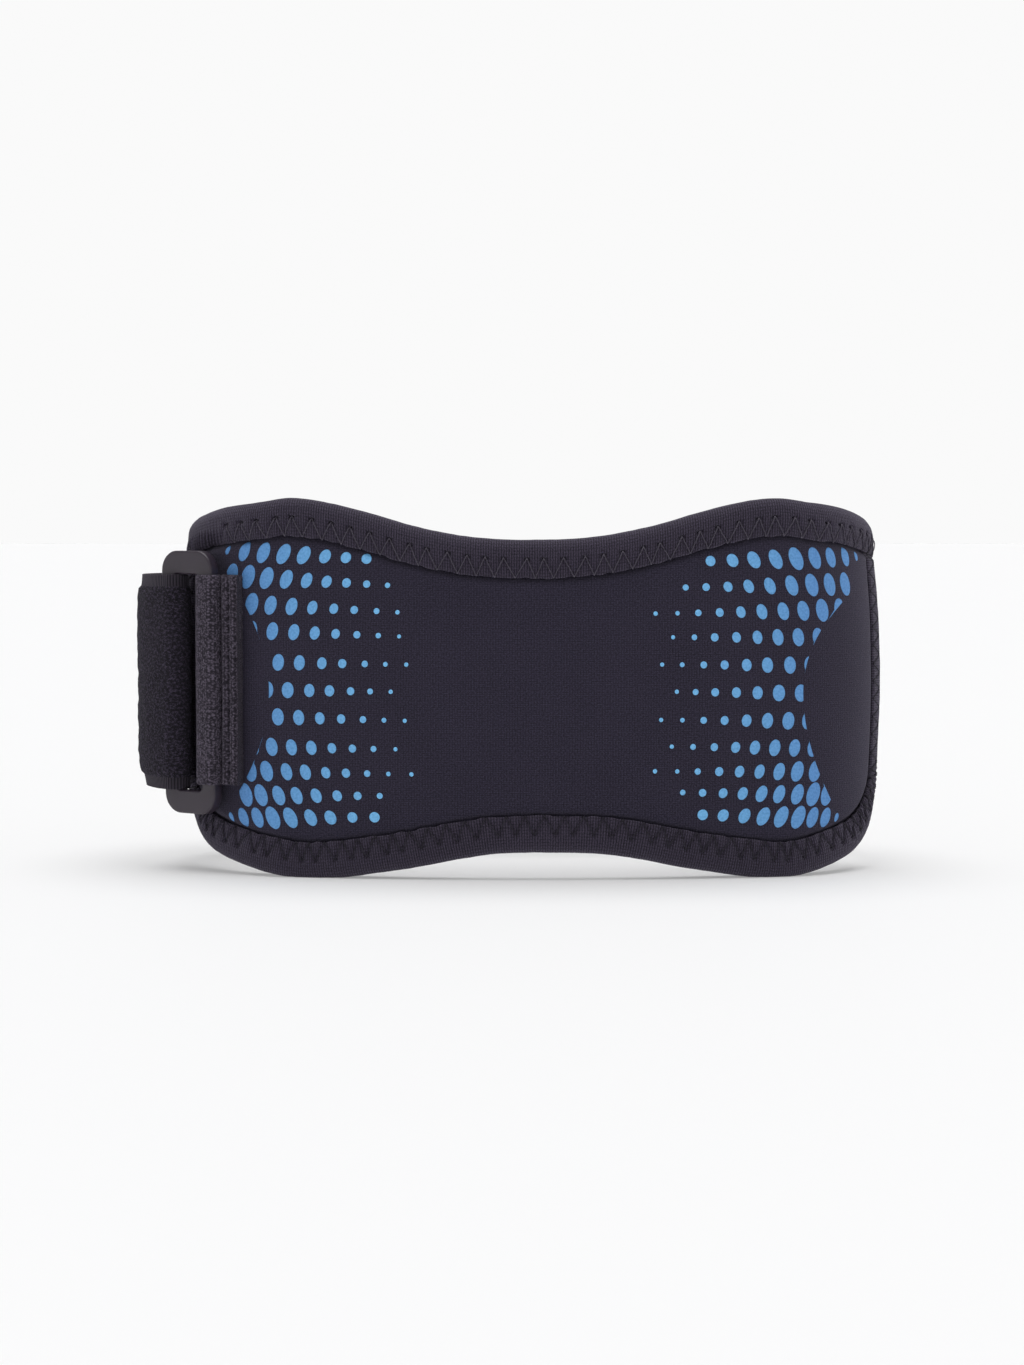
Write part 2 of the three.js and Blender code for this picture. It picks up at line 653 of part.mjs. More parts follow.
// The origin is the middle of the box's underside.
const box = new THREE.Box3().setFromObject(patellaStrap);
const middle = box.getCenter(new THREE.Vector3());
patellaStrap.position.set(-middle.x, -middle.y, -box.min.z);

export default patellaStrap;
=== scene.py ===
"""Looks of a padded knee strap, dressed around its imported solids.

Inside the classes lengths are in millimetres, as in the part's source. Meshes are made in metres, in the same
frame.
"""

import logging
import math
from dataclasses import dataclass, field
from enum import Enum

import bpy
import numpy as np
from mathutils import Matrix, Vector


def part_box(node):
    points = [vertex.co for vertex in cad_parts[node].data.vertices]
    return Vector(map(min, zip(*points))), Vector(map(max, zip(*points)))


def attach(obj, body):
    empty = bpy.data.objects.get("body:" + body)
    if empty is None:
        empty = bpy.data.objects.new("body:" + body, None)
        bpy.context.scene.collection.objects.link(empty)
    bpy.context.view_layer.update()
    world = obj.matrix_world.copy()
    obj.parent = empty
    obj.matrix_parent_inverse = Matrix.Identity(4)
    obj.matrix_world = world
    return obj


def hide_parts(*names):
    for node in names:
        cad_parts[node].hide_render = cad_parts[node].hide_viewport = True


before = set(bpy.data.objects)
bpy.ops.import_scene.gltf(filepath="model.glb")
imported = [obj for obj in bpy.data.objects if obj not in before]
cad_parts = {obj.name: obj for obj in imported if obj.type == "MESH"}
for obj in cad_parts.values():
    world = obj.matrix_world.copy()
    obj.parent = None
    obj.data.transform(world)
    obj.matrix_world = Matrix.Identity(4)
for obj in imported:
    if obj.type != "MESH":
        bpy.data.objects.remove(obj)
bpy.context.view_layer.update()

MM = 0.001
FULL_TURN = 2 * math.pi

Array = np.ndarray
Colour = tuple[float, float, float]

log = logging.getLogger("knee_strap")


def ease(value: Array, low: float, high: float) -> Array:
    """Smooth rise from 0 at low to 1 at high.

    Args:
        value: Where to read it.
        low: Where the rise starts.
        high: Where it ends; below low, it falls instead.

    Returns:
        The share from 0 to 1, in the form of value.
    """
    t = np.clip((value - low) / (high - low), 0.0, 1.0)
    return t * t * (3 - 2 * t)


def bump(value: Array, middle: Array | float, width: float) -> Array:
    """Soft single bump, 1 at its middle.

    Args:
        value: Where to read it.
        middle: Where it is highest.
        width: Half width at about a third of its height.

    Returns:
        Its height, in the form of value.
    """
    return np.exp(-(((value - middle) / width) ** 2))


@dataclass(frozen=True)
class Grain:
    """Smooth random relief that is the same on every run: its height, the size of one hump and its seed."""

    height: float
    cell: float
    seed: int
    lattice: tuple[int, int] = (251, 257)

    def at(self, along: Array, across: Array) -> Array:
        """The relief at places on a cloth.

        Args:
            along: First coordinate on the cloth.
            across: Second coordinate on the cloth.

        Returns:
            Heights, up or down by the relief's height at most.
        """
        lattice = np.random.default_rng(self.seed).uniform(-1, 1, self.lattice)
        u, v = np.broadcast_arrays(along / self.cell, across / self.cell)
        i, j = np.floor(u).astype(int), np.floor(v).astype(int)
        a, b = ease(u - i, 0, 1), ease(v - j, 0, 1)

        def corner(di: int, dj: int) -> Array:
            """Lattice value at a corner of each cell."""
            return lattice[(i + di) % self.lattice[0], (j + dj) % self.lattice[1]]

        low = corner(0, 0) * (1 - a) + corner(1, 0) * a
        high = corner(0, 1) * (1 - a) + corner(1, 1) * a
        return self.height * (low * (1 - b) + high * b)


def on_cloth(along: Array, across: Array, face: Array | float) -> Array:
    """Places on a cloth, with a number that keeps its faces apart in the last column."""
    return np.stack(np.broadcast_arrays(along, across, face), axis=-1)


def into_scene(made: bpy.types.Object) -> None:
    """Put a new object in the scene."""
    bpy.context.scene.collection.objects.link(made)


class Weave(Enum):
    """How a cloth's surface is made."""

    JERSEY = "fine knit"
    RIBBED = "knit with ribs across the tape"
    TERRY = "looped webbing"
    PLUSH = "velour pile"
    SELVEDGE = "thin ribbed edge"


class Nodes:
    """A material's node tree, built up node by node; the numbers are the Mix node's colour sockets."""

    MIX_SHARE = 0
    MIX_FIRST = 6
    MIX_SECOND = 7
    MIX_RESULT = 2

    def __init__(self, name: str) -> None:
        """Start a material.

        Args:
            name: The material's name.
        """
        self.material = bpy.data.materials.new(name)
        self.material.use_nodes = True
        self.tree = self.material.node_tree
        self.shader = self.tree.nodes["Principled BSDF"]

    def add(self, kind: str, **values: object) -> bpy.types.Node:
        """Add a node.

        Args:
            kind: Blender's name of the node, without "ShaderNode".
            values: Its settings.

        Returns:
            The node.
        """
        node = self.tree.nodes.new("ShaderNode" + kind)
        for key, value in values.items():
            setattr(node, key, value)
        return node

    def feed(self, socket: bpy.types.NodeSocket, value: object) -> None:
        """Link a socket to another one, or set its value.

        Args:
            socket: The input.
            value: An output socket or a plain value.
        """
        if isinstance(value, bpy.types.NodeSocket):
            self.tree.links.new(value, socket)
        else:
            socket.default_value = value

    def math(self, operation: str, first: object, second: object = 0.0) -> bpy.types.NodeSocket:
        """Arithmetic on two values.

        Args:
            operation: Blender's name of the operation.
            first: First value or socket.
            second: Second value or socket.

        Returns:
            The result's socket.
        """
        node = self.add("Math", operation=operation)
        self.feed(node.inputs[0], first)
        self.feed(node.inputs[1], second)
        return node.outputs[0]

    def layers(self, parts: list[tuple[object, float]]) -> bpy.types.NodeSocket:
        """Sum of several heights.

        Args:
            parts: Each height's socket with how much it counts.

        Returns:
            The sum's socket.
        """
        total = self.math("MULTIPLY", *parts[0])
        for height, share in parts[1:]:
            total = self.math("ADD", total, self.math("MULTIPLY", height, share))
        return total

    def wave(self, distance: object, pitch: float) -> bpy.types.NodeSocket:
        """Even ribs, from 0 to 1.

        Args:
            distance: Socket with the distance across the ribs.
            pitch: From one rib to the next.

        Returns:
            The ribs' height.
        """
        sine = self.math("SINE", self.math("MULTIPLY", distance, FULL_TURN / pitch))
        return self.math("ADD", self.math("MULTIPLY", sine, 0.5), 0.5)

    def noise(self, place: object, size: float, detail: float = 2.0) -> bpy.types.NodeSocket:
        """Cloudy noise from 0 to 1.

        Args:
            place: Socket with the place on the cloth, in millimetres.
            size: Size of one cloud.
            detail: How many finer layers it has.

        Returns:
            The noise's value.
        """
        node = self.add("TexNoise")
        self.feed(node.inputs["Vector"], place)
        node.inputs["Scale"].default_value = 1 / size
        node.inputs["Detail"].default_value = detail
        return node.outputs["Fac"]

    def cells(self, place: object, size: float) -> bpy.types.NodeSocket:
        """Rounded cells, highest in their middles.

        Args:
            place: Socket with the place on the cloth, in millimetres.
            size: Size of one cell.

        Returns:
            The cells' height.
        """
        node = self.add("TexVoronoi")
        self.feed(node.inputs["Vector"], place)
        node.inputs["Scale"].default_value = 1 / size
        return self.math("SUBTRACT", 1.0, node.outputs["Distance"])

    def mix(self, share: object, first: object, second: Colour, blend: str = "MIX") -> bpy.types.NodeSocket:
        """Blend of two colours.

        Args:
            share: How much of the second.
            first: First colour, linear, or a socket with it.
            second: Second colour, linear.
            blend: Blender's name of the way they are blended.

        Returns:
            The blended colour.
        """
        node = self.add("Mix", data_type="RGBA", clamp_factor=True, blend_type=blend)
        self.feed(node.inputs[self.MIX_SHARE], share)
        self.feed(node.inputs[self.MIX_FIRST], (*first, 1.0) if isinstance(first, tuple) else first)
        self.feed(node.inputs[self.MIX_SECOND], (*second, 1.0))
        return node.outputs[self.MIX_RESULT]

    def spread(self, value: object, low: float, high: float) -> bpy.types.NodeSocket:
        """Stretch a value's range from low..high to 0..1.

        Args:
            value: The value.
            low: What becomes 0.
            high: What becomes 1.

        Returns:
            The stretched value, held within 0 to 1.
        """
        node = self.add("MapRange", clamp=True)
        self.feed(node.inputs["Value"], value)
        node.inputs["From Min"].default_value = low
        node.inputs["From Max"].default_value = high
        return node.outputs["Result"]

    def relief(self, height: object, depth: float) -> None:
        """Give the shader small relief.

        Args:
            height: Socket with the height from 0 to 1.
            depth: What 1 stands for, in millimetres.
        """
        node = self.add("Bump")
        node.inputs["Distance"].default_value = depth * MM
        self.feed(node.inputs["Height"], height)
        self.feed(self.shader.inputs["Normal"], node.outputs["Normal"])


@dataclass(frozen=True)
class Shares:
    """How much each part of a weave's relief counts."""

    fluff: float
    ribs: float = 0.0
    knit: float = 0.0
    loops: float = 0.0
    tufts: float = 0.0


WEAVE_SHARES = {
    Weave.JERSEY: Shares(fluff=1.0, knit=0.2),
    Weave.RIBBED: Shares(fluff=0.95, ribs=0.22, knit=0.2),
    Weave.TERRY: Shares(fluff=0.5, ribs=0.12, loops=0.62),
    Weave.PLUSH: Shares(fluff=0.8, tufts=0.9),
    Weave.SELVEDGE: Shares(fluff=0.4, ribs=1.0),
}


@dataclass(frozen=True)
class ClothFinish:
    """A black cloth: colours are linear, lengths in millimetres; dark goes to the relief's hollows as painted
    shade, light to its tips as painted light, mixed with random tone.
    """

    name: str
    weave: Weave
    dark: Colour
    light: Colour
    relief: float
    roughness: float = 0.9
    sheen: float = 0.25
    sheen_colour: Colour = (0.82, 0.76, 0.95)
    wale: float = 0.55
    course: float = 0.42
    fuzz: float = 0.9
    tip_range: tuple[float, float] = (0.35, 1.0)
    fluff_size: float = 0.35
    patch_size: float = 14.0
    patch_share: float = 0.2
    shine: float = 0.25
    sheen_roughness: float = 0.55

    def height(self, nodes: Nodes, place: bpy.types.NodeSocket) -> bpy.types.NodeSocket:
        """The weave's own height.

        Args:
            nodes: The material being made.
            place: Socket with the place on the cloth.

        Returns:
            Height from 0 to 1.
        """
        parts = nodes.add("SeparateXYZ")
        nodes.feed(parts.inputs[0], place)
        along, across = parts.outputs[0], parts.outputs[1]
        shares = WEAVE_SHARES[self.weave]
        layers = [(nodes.noise(place, self.fuzz * self.fluff_size, 3.0), shares.fluff)]
        if shares.ribs:
            layers.append((nodes.wave(along, self.wale), shares.ribs))
        if shares.knit:
            knit = nodes.math("MULTIPLY", nodes.wave(along, self.wale), nodes.wave(across, self.course))
            layers.append((knit, shares.knit))
        if shares.loops:
            layers.append((nodes.cells(place, self.fuzz), shares.loops))
        if shares.tufts:
            layers.append((nodes.noise(place, self.fuzz, 4.0), shares.tufts))
        return nodes.layers(layers)

    def make(self) -> bpy.types.Material:
        """Build the material.

        Returns:
            The material.
        """
        nodes = Nodes(self.name)
        place = nodes.add("Attribute", attribute_name="weave").outputs["Vector"]
        height = self.height(nodes, place)
        patches = nodes.noise(place, self.patch_size)
        # Colour follows the relief's height: hollows between ribs, knit, loops and tufts get painted shade,
        # their tips painted light; the fluff noise and the patches are random tone.
        tips = nodes.spread(height, *self.tip_range)
        relief_shade_and_patches = nodes.layers([(tips, 1.0), (patches, self.patch_share)])
        nodes.feed(nodes.shader.inputs["Base Color"], nodes.mix(relief_shade_and_patches, self.dark, self.light))
        nodes.relief(height, self.relief)
        nodes.shader.inputs["Roughness"].default_value = self.roughness
        nodes.shader.inputs["Specular IOR Level"].default_value = self.shine
        nodes.shader.inputs["Sheen Weight"].default_value = self.sheen
        nodes.shader.inputs["Sheen Roughness"].default_value = self.sheen_roughness
        nodes.shader.inputs["Sheen Tint"].default_value = (*self.sheen_colour, 1.0)
        return nodes.material


@dataclass(frozen=True)
class MouldedFinish:
    """Satin moulded plastic with a faint grain, paler and rougher in soft random clouds."""

    name: str
    colour: Colour
    cloud_colour: Colour
    roughness: float = 0.42
    grain_size: float = 0.35
    grain_depth: float = 0.02
    cloud_size: float = 6.0
    cloud_range: tuple[float, float] = (0.3, 0.7)
    unevenness: float = 0.16

    def make(self) -> bpy.types.Material:
        """Build the material.

        Returns:
            The material.
        """
        nodes = Nodes(self.name)
        spot = nodes.add("TexCoord").outputs["Object"]
        scaled = nodes.add("VectorMath", operation="SCALE")
        nodes.feed(scaled.inputs[0], spot)
        scaled.inputs["Scale"].default_value = 1 / MM
        place = scaled.outputs[0]
        texture = nodes.noise(place, self.grain_size, 3.0)
        clouds = nodes.noise(place, self.cloud_size, 3.0)
        # Paler in soft random clouds spread over the whole surface.
        colour = nodes.mix(nodes.spread(clouds, *self.cloud_range), self.colour, self.cloud_colour)
        nodes.feed(nodes.shader.inputs["Base Color"], colour)
        rough = nodes.math("MULTIPLY", clouds, self.unevenness)
        rough = nodes.math("ADD", rough, self.roughness - self.unevenness / 2)
        nodes.feed(nodes.shader.inputs["Roughness"], rough)
        nodes.relief(texture, self.grain_depth)
        return nodes.material


@dataclass(frozen=True)
class InkFinish:
    """Printed ink on knit: brighter towards the panel's middle, finely speckled."""

    name: str
    inner: Colour
    outer: Colour
    speck: float = 0.5
    speck_shade: Colour = (0.62, 0.72, 0.8)
    speck_range: tuple[float, float] = (0.62, 0.3)
    speck_depth: float = 0.05
    inner_at: float = 30.0
    outer_at: float = 66.0
    roughness: float = 0.55
    shine: float = 0.3

    def make(self) -> bpy.types.Material:
        """Build the material.

        Returns:
            The material.
        """
        nodes = Nodes(self.name)
        place = nodes.add("Attribute", attribute_name="weave").outputs["Vector"]
        parts = nodes.add("SeparateXYZ")
        nodes.feed(parts.inputs[0], place)
        run = nodes.spread(nodes.math("ABSOLUTE", parts.outputs[0]), self.inner_at, self.outer_at)
        specks = nodes.noise(place, self.speck, 4.0)
        plain = nodes.mix(run, self.inner, self.outer)
        worn = nodes.mix(nodes.spread(specks, *self.speck_range), plain, self.speck_shade, "MULTIPLY")
        nodes.feed(nodes.shader.inputs["Base Color"], worn)
        nodes.relief(specks, self.speck_depth)
        nodes.shader.inputs["Roughness"].default_value = self.roughness
        nodes.shader.inputs["Specular IOR Level"].default_value = self.shine
        return nodes.material


JERSEY = ClothFinish(
    "black_jersey", Weave.JERSEY, (0.0062, 0.0048, 0.0124), (0.0400, 0.0338, 0.0605), 0.16,
    wale=0.62, course=0.5, fuzz=1.0, sheen=0.14, tip_range=(0.4, 0.85),
)
KNIT_TAPE = ClothFinish(
    "black_knit_tape", Weave.RIBBED, (0.004, 0.0028, 0.0068), (0.056, 0.0448, 0.074), 0.24,
    wale=0.58, course=0.7, sheen=0.16, tip_range=(0.46, 0.9),
)
THREAD = ClothFinish(
    "black_thread", Weave.SELVEDGE, (0.020, 0.017, 0.026), (0.075, 0.064, 0.088), 0.03,
    roughness=0.5, wale=0.3,
)
# A darker copy of the same black thread for the lower tape's zigzag: painted shade, as the lower seam gets
# less of the overhead light.
SHADED_LOWER_THREAD = ClothFinish(
    "black_thread_painted_shade", Weave.SELVEDGE, (0.006, 0.005, 0.009), (0.026, 0.022, 0.034), 0.03,
    roughness=0.6, wale=0.3, sheen=0.05,
)
WEBBING = ClothFinish(
    "black_looped_webbing", Weave.TERRY, (0.003, 0.002, 0.005), (0.135, 0.113, 0.156), 0.24,
    fuzz=0.42, wale=0.62, sheen=0.08, tip_range=(0.52, 0.98),
)
PLUSH = ClothFinish(
    "black_plush", Weave.PLUSH, (0.0010, 0.0007, 0.0020), (0.064, 0.0510, 0.0855), 0.7,
    roughness=1.0, fuzz=0.56, sheen=0.04, tip_range=(0.82, 1.06),
)
SELVEDGE = ClothFinish(
    "black_selvedge", Weave.SELVEDGE, (0.006, 0.005, 0.008), (0.038, 0.031, 0.044), 0.14,
    wale=0.62, fuzz=0.6, sheen=0.08, tip_range=(0.3, 1.3),
)
RING_PLASTIC = MouldedFinish("dark_grey_plastic", (0.0242, 0.0170, 0.0270), (0.0305, 0.0218, 0.0346))
HOOK_PLASTIC = MouldedFinish(
    "black_hook_plastic", (0.012, 0.011, 0.013), (0.02, 0.019, 0.021),
    roughness=0.5, grain_size=1.4, grain_depth=0.5,
)
BLUE_INK = InkFinish("blue_ink", (0.225, 0.600, 0.97), (0.122, 0.312, 0.65))


@dataclass
class Shell:
    """A piece under construction: swept surfaces that become one mesh."""

    points: list[Array] = field(default_factory=list)
    weave: list[Array] = field(default_factory=list)
    quads: list[Array] = field(default_factory=list)
    quad_slots: list[Array] = field(default_factory=list)
    caps: list[list[int]] = field(default_factory=list)
    count: int = 0

    def _take(self, points: Array, weave: Array) -> int:
        """Add points and say where they start.

        Args:
            points: Places, in millimetres.
            weave: Where each lies on its cloth.

        Returns:
            Number of the first new point.
        """
        start = self.count
        self.points.append(points.reshape(-1, 3))
        self.weave.append(weave.reshape(-1, 3))
        self.count += points.size // 3
        return start

    def _join(self, start: int, these: Array, following: Array, strip: Array, turned: bool) -> None:
        """Add the faces between rings and the rings that follow them.

        Args:
            start: Number of the first ring's first point.
            these: Numbers of the rings.
            following: Number of the ring that follows each.
            strip: Material number of each strip between ring points.
            turned: Whether the faces have to be turned round.
        """
        around = len(strip)
        here, there = these[:, None] * around, following[:, None] * around
        point = np.arange(around)[None]
        after = (point + 1) % around
        quads = start + np.stack([here + point, here + after, there + after, there + point], axis=-1)
        self.quads.append((quads[..., ::-1] if turned else quads).reshape(-1, 4))
        self.quad_slots.append(np.tile(strip, len(these)))

    def sweep(self, rings: Array, weave: Array, slots: Array | None = None, turned: bool = False) -> None:
        """Add a closed body swept through rings, with flat ends.

        Args:
            rings: Places, as stations by ring points by 3; every ring is closed.
            weave: The same form, where each point lies on its cloth.
            slots: Material number of each strip between ring points, or none for the first material.
            turned: Whether the faces have to be turned round.
        """
        stations, around = rings.shape[:2]
        start = self._take(rings, weave)
        these = np.arange(stations - 1)
        self._join(start, these, these + 1, np.zeros(around, int) if slots is None else slots, turned)
        first = list(range(start + around - 1, start - 1, -1))
        last = list(range(self.count - around, self.count))
        self.caps += [first[::-1], last[::-1]] if turned else [first, last]

    def loop(self, rings: Array, weave: Array) -> None:
        """Add a closed body whose rings run round and join up.

        Args:
            rings: Places, as stations by ring points by 3.
            weave: The same form, where each point lies on its cloth.
        """
        stations, around = rings.shape[:2]
        these = np.arange(stations)
        self._join(self._take(rings, weave), these, (these + 1) % stations, np.zeros(around, int), False)

    def tubes(self, paths: Array, outward: Array, radius: float, sides: int = 6) -> None:
        """Add thin threads along paths.

        Args:
            paths: Places, as threads by points by 3.
            outward: The same form, the cloth's outward direction under each point.
            radius: Half thickness of the thread.
            sides: How many sides it has.
        """
        ahead = np.gradient(paths, axis=1)
        ahead /= np.linalg.norm(ahead, axis=2, keepdims=True)
        sideways = np.cross(ahead, outward)
        sideways /= np.linalg.norm(sideways, axis=2, keepdims=True)
        upward = np.cross(sideways, ahead)
        turn = np.arange(sides) * FULL_TURN / sides
        around = upward[:, :, None] * np.cos(turn)[:, None] + sideways[:, :, None] * np.sin(turn)[:, None]
        rings = paths[:, :, None] + radius * around
        run = np.arange(paths.shape[1])[:, None] * np.ones(sides)
        for thread in rings:
            self.sweep(thread, on_cloth(run, 0.0, 0.0))

    def piece(self, name: str, finishes: list[bpy.types.Material]) -> bpy.types.Object:
        """Make the mesh.

        Args:
            name: The piece's name.
            finishes: Its materials, in the order of the strips' numbers.

        Returns:
            The new object, in the scene.
        """
        points = np.concatenate(self.points) * MM
        quads = np.concatenate(self.quads)
        first, second, third, fourth = (points[quads[:, n]] for n in range(4))
        volume = np.sum(first * np.cross(second, third)) + np.sum(first * np.cross(third, fourth))
        caps = self.caps
        if volume < 0:
            quads, caps = quads[:, ::-1], [cap[::-1] for cap in caps]
        corners = np.concatenate([quads.reshape(-1), *[np.array(cap) for cap in caps]])
        sizes = np.array([4] * len(quads) + [len(cap) for cap in caps])
        starts = np.cumsum(sizes) - sizes
        mesh = bpy.data.meshes.new(name)
        mesh.vertices.add(len(points))
        mesh.vertices.foreach_set("co", points.astype(np.float32).ravel())
        mesh.loops.add(len(corners))
        mesh.loops.foreach_set("vertex_index", corners.astype(np.int32))
        mesh.polygons.add(len(sizes))
        mesh.polygons.foreach_set("loop_start", starts.astype(np.int32))
        slots = np.concatenate([*self.quad_slots, np.zeros(len(caps), int)])
        mesh.polygons.foreach_set("material_index", slots.astype(np.int32))
        mesh.polygons.foreach_set("use_smooth", sizes == 4)
        spot = mesh.attributes.new("weave", "FLOAT_VECTOR", "POINT")
        spot.data.foreach_set("vector", np.concatenate(self.weave).astype(np.float32).ravel())
        mesh.update(calc_edges=True)
        mesh.validate()
        for finish in finishes:
            mesh.materials.append(finish)
        made = bpy.data.objects.new(name, mesh)
        into_scene(made)
        log.info("%s: %d faces", name, len(mesh.polygons))
        return made


@dataclass(frozen=True)
class OutlineRow:
    """One station of the hourglass: shares of the half length and of the two waist dips."""

    along: float
    top: float
    bottom: float


HOURGLASS = (
    OutlineRow(0.0, 1.0, 1.0),
    OutlineRow(0.12, 0.955, 0.95),
    OutlineRow(0.21, 0.83, 0.77),
    OutlineRow(0.31, 0.6, 0.48),
    OutlineRow(0.4, 0.34, 0.26),
    OutlineRow(0.5, 0.1, 0.06),
    OutlineRow(0.585, 0.0, 0.0),
    OutlineRow(0.67, 0.09, 0.17),
    OutlineRow(0.78, 0.21, 0.54),
    OutlineRow(0.88, 0.37, 0.93),
    OutlineRow(1.0, 0.56, 1.3),
)


def through_rows(at: Array, known: Array, values: Array, slopes: Array) -> Array:
    """Smooth curve through a table's rows.

    Args:
        at: Where to read it.
        known: The rows' places, rising.
        values: The rows' values.
        slopes: The curve's slopes at the rows.

    Returns:
        The values at those places.
    """
    i = np.clip(np.searchsorted(known, at, side="right") - 1, 0, len(known) - 2)
    span = known[i + 1] - known[i]
    t = (at - known[i]) / span
    return (
        (2 * t**3 - 3 * t**2 + 1) * values[i]
        + (t**3 - 2 * t**2 + t) * span * slopes[i]
        + (3 * t**2 - 2 * t**3) * values[i + 1]
        + (t**3 - t**2) * span * slopes[i + 1]
    )


def run_along(path: Array) -> Array:
    """Length along a path at each of its points, read from its first two columns."""
    return np.concatenate([[0], np.cumsum(np.hypot(*np.diff(path[:, :2], axis=0).T))])


def beside_way(path: Array) -> Array:
    """Directions square to a flat path, to its right."""
    ahead = np.gradient(path, axis=0)
    ahead /= np.linalg.norm(ahead, axis=1, keepdims=True)
    return np.stack([ahead[:, 1], -ahead[:, 0]], axis=-1)


@dataclass(frozen=True)
class PanelForm:
    """The panel's plan curve and hourglass outline, as its solids have them."""

    front_half_width: float = 56.5
    front_turn: float = math.radians(12)
    right_bend_radius: float = 32.0
    left_bend_radius: float = 31.0
    end_heading: float = math.radians(84)
    height: float = 87.5
    thickness: float = 5.6
    waist_top_dip: float = 9.6
    waist_bottom_dip: float = 6.6
    waist_lean: float = 4.0
    right_end_bulge: float = 1.3
    right_end_tuck: float = 1.0
    left_end_bulge: float = 1.1
    foot_flat: float = 0.5
    corner_radius: float = 17.5
    corner_fullness: float = 0.55
    binding_width: float = 8.8
    strap_reach: float = 92.2
    strap_thickness: float = 2.2
    right_bulge_power: float = 2.5
    right_tuck_span: tuple[float, float] = (0.66, 0.95)
    left_bulge_rise: tuple[float, float] = (0.12, 0.3)
    left_bulge_fall: tuple[float, float] = (0.95, 0.74)
    tape_gap: float = 0.3
    side_points: int = 80
    edge_points: int = 500

    @property
    def front_radius(self) -> float:
        """Radius of the nearly flat middle."""
        return self.front_half_width / math.sin(self.front_turn)

    @property
    def front_length(self) -> float:
        """Length of the middle to one side."""
        return self.front_radius * self.front_turn

    @property
    def right_length(self) -> float:
        """Length of the face from the middle to the right end."""
        return self.front_length + self.right_bend_radius * (self.end_heading - self.front_turn)

    @property
    def left_length(self) -> float:
        """Length of the face from the middle to the left end."""
        return self.front_length + self.left_bend_radius * (self.end_heading - self.front_turn)

    @property
    def shift(self) -> Array:
        """From the plan's own axes to the frame's."""
        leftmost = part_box("strap")[0].x / MM
        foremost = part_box("front_panel")[0].y / MM
        return np.array([leftmost + self.strap_reach + self.strap_thickness / 2, foremost])

    def side_length(self, s: Array) -> Array:
        """Length of the face to the end on the side of s."""
        return np.where(s < 0, self.left_length, self.right_length)

    def heading(self, s: Array) -> Array:
        """Turn of the plan curve at s, growing towards both ends."""
        run = np.abs(s)
        radius = np.where(s < 0, self.left_bend_radius, self.right_bend_radius)
        bent = self.front_turn + (run - self.front_length) / radius
        return np.where(run <= self.front_length, run / self.front_radius, bent)

    def beside(self, s: Array, outward: Array) -> Array:
        """A point off the panel's face in plan, on the plan's own axes.

        Args:
            s: Length along the face from the middle, to the viewer's right.
            outward: Distance in front of the face.

        Returns:
            Points, with x and y in the last axis.
        """
        turn = self.heading(s)
        flat = np.minimum(turn, self.front_turn)
        radius = np.where(s < 0, self.left_bend_radius, self.right_bend_radius) * (turn > self.front_turn)
        x = self.front_radius * np.sin(flat) + radius * (np.sin(turn) - math.sin(self.front_turn))
        y = self.front_radius * (1 - np.cos(flat)) + radius * (math.cos(self.front_turn) - np.cos(turn))
        x = x + outward * np.sin(turn)
        y = y - outward * np.cos(turn)
        return np.stack([np.where(s < 0, -x, x), y], axis=-1)

    def beside_route(self, s: Array, outward: float) -> Array:
        """Stretch of a route that keeps its distance from the face, as x, y, heading and loop."""
        return np.column_stack([self.beside(s, np.full_like(s, outward)), self.heading(s), 0 * s])

    def place(self, s: Array, z: Array, depth: Array) -> Array:
        """A point of the panel in the frame.

        Args:
            s: Length along the face.
            z: Height above the ground.
            depth: Distance behind the face.

        Returns:
            Points with x, y and z in the last axis.
        """
        s, z, depth = np.broadcast_arrays(s, z, depth)
        up = np.clip(z / self.height, 0, 1)
        swell = self.right_end_bulge * np.sin(math.pi * up) ** self.right_bulge_power
        swell = swell - self.right_end_tuck * ease(up, *self.right_tuck_span)
        left_swell = self.left_end_bulge * ease(up, *self.left_bulge_rise) * ease(up, *self.left_bulge_fall)
        proud = ease(s, self.front_length, self.right_length) * swell
        proud = proud + ease(-s, self.front_length, self.left_length) * left_swell
        plan = self.beside(s, proud - depth) + self.shift
        return np.concatenate([plan, z[..., None]], axis=-1)

    def outward(self, s: Array) -> Array:
        """The face's outward direction at s, level."""
        turn = np.where(s < 0, -self.heading(s), self.heading(s))
        return np.stack([np.sin(turn), -np.cos(turn), np.zeros_like(turn)], axis=-1)

    def _dip(self, along: Array, column: str) -> Array:
        """One column of the hourglass at a signed length along the face."""
        known = np.array([row.along for row in HOURGLASS])
        values = np.array([getattr(row, column) for row in HOURGLASS])
        slopes = np.gradient(values, known)
        slopes[1:-1] = (values[2:] - values[:-2]) / (known[2:] - known[:-2])
        slopes[0] = 0.0
        return through_rows(np.abs(along) / self.side_length(along), known, values, slopes)

    def top(self, s: Array) -> Array:
        """Height of the top edge at s."""
        return self.height - self.foot_flat - self.waist_top_dip * self._dip(s, "top")

    def bottom(self, s: Array) -> Array:
        """Height of the bottom edge at s, corners left out."""
        leaning = s - self.waist_lean * (1 - (s / self.side_length(s)) ** 2)
        return -self.foot_flat + self.waist_bottom_dip * self._dip(leaning, "bottom")

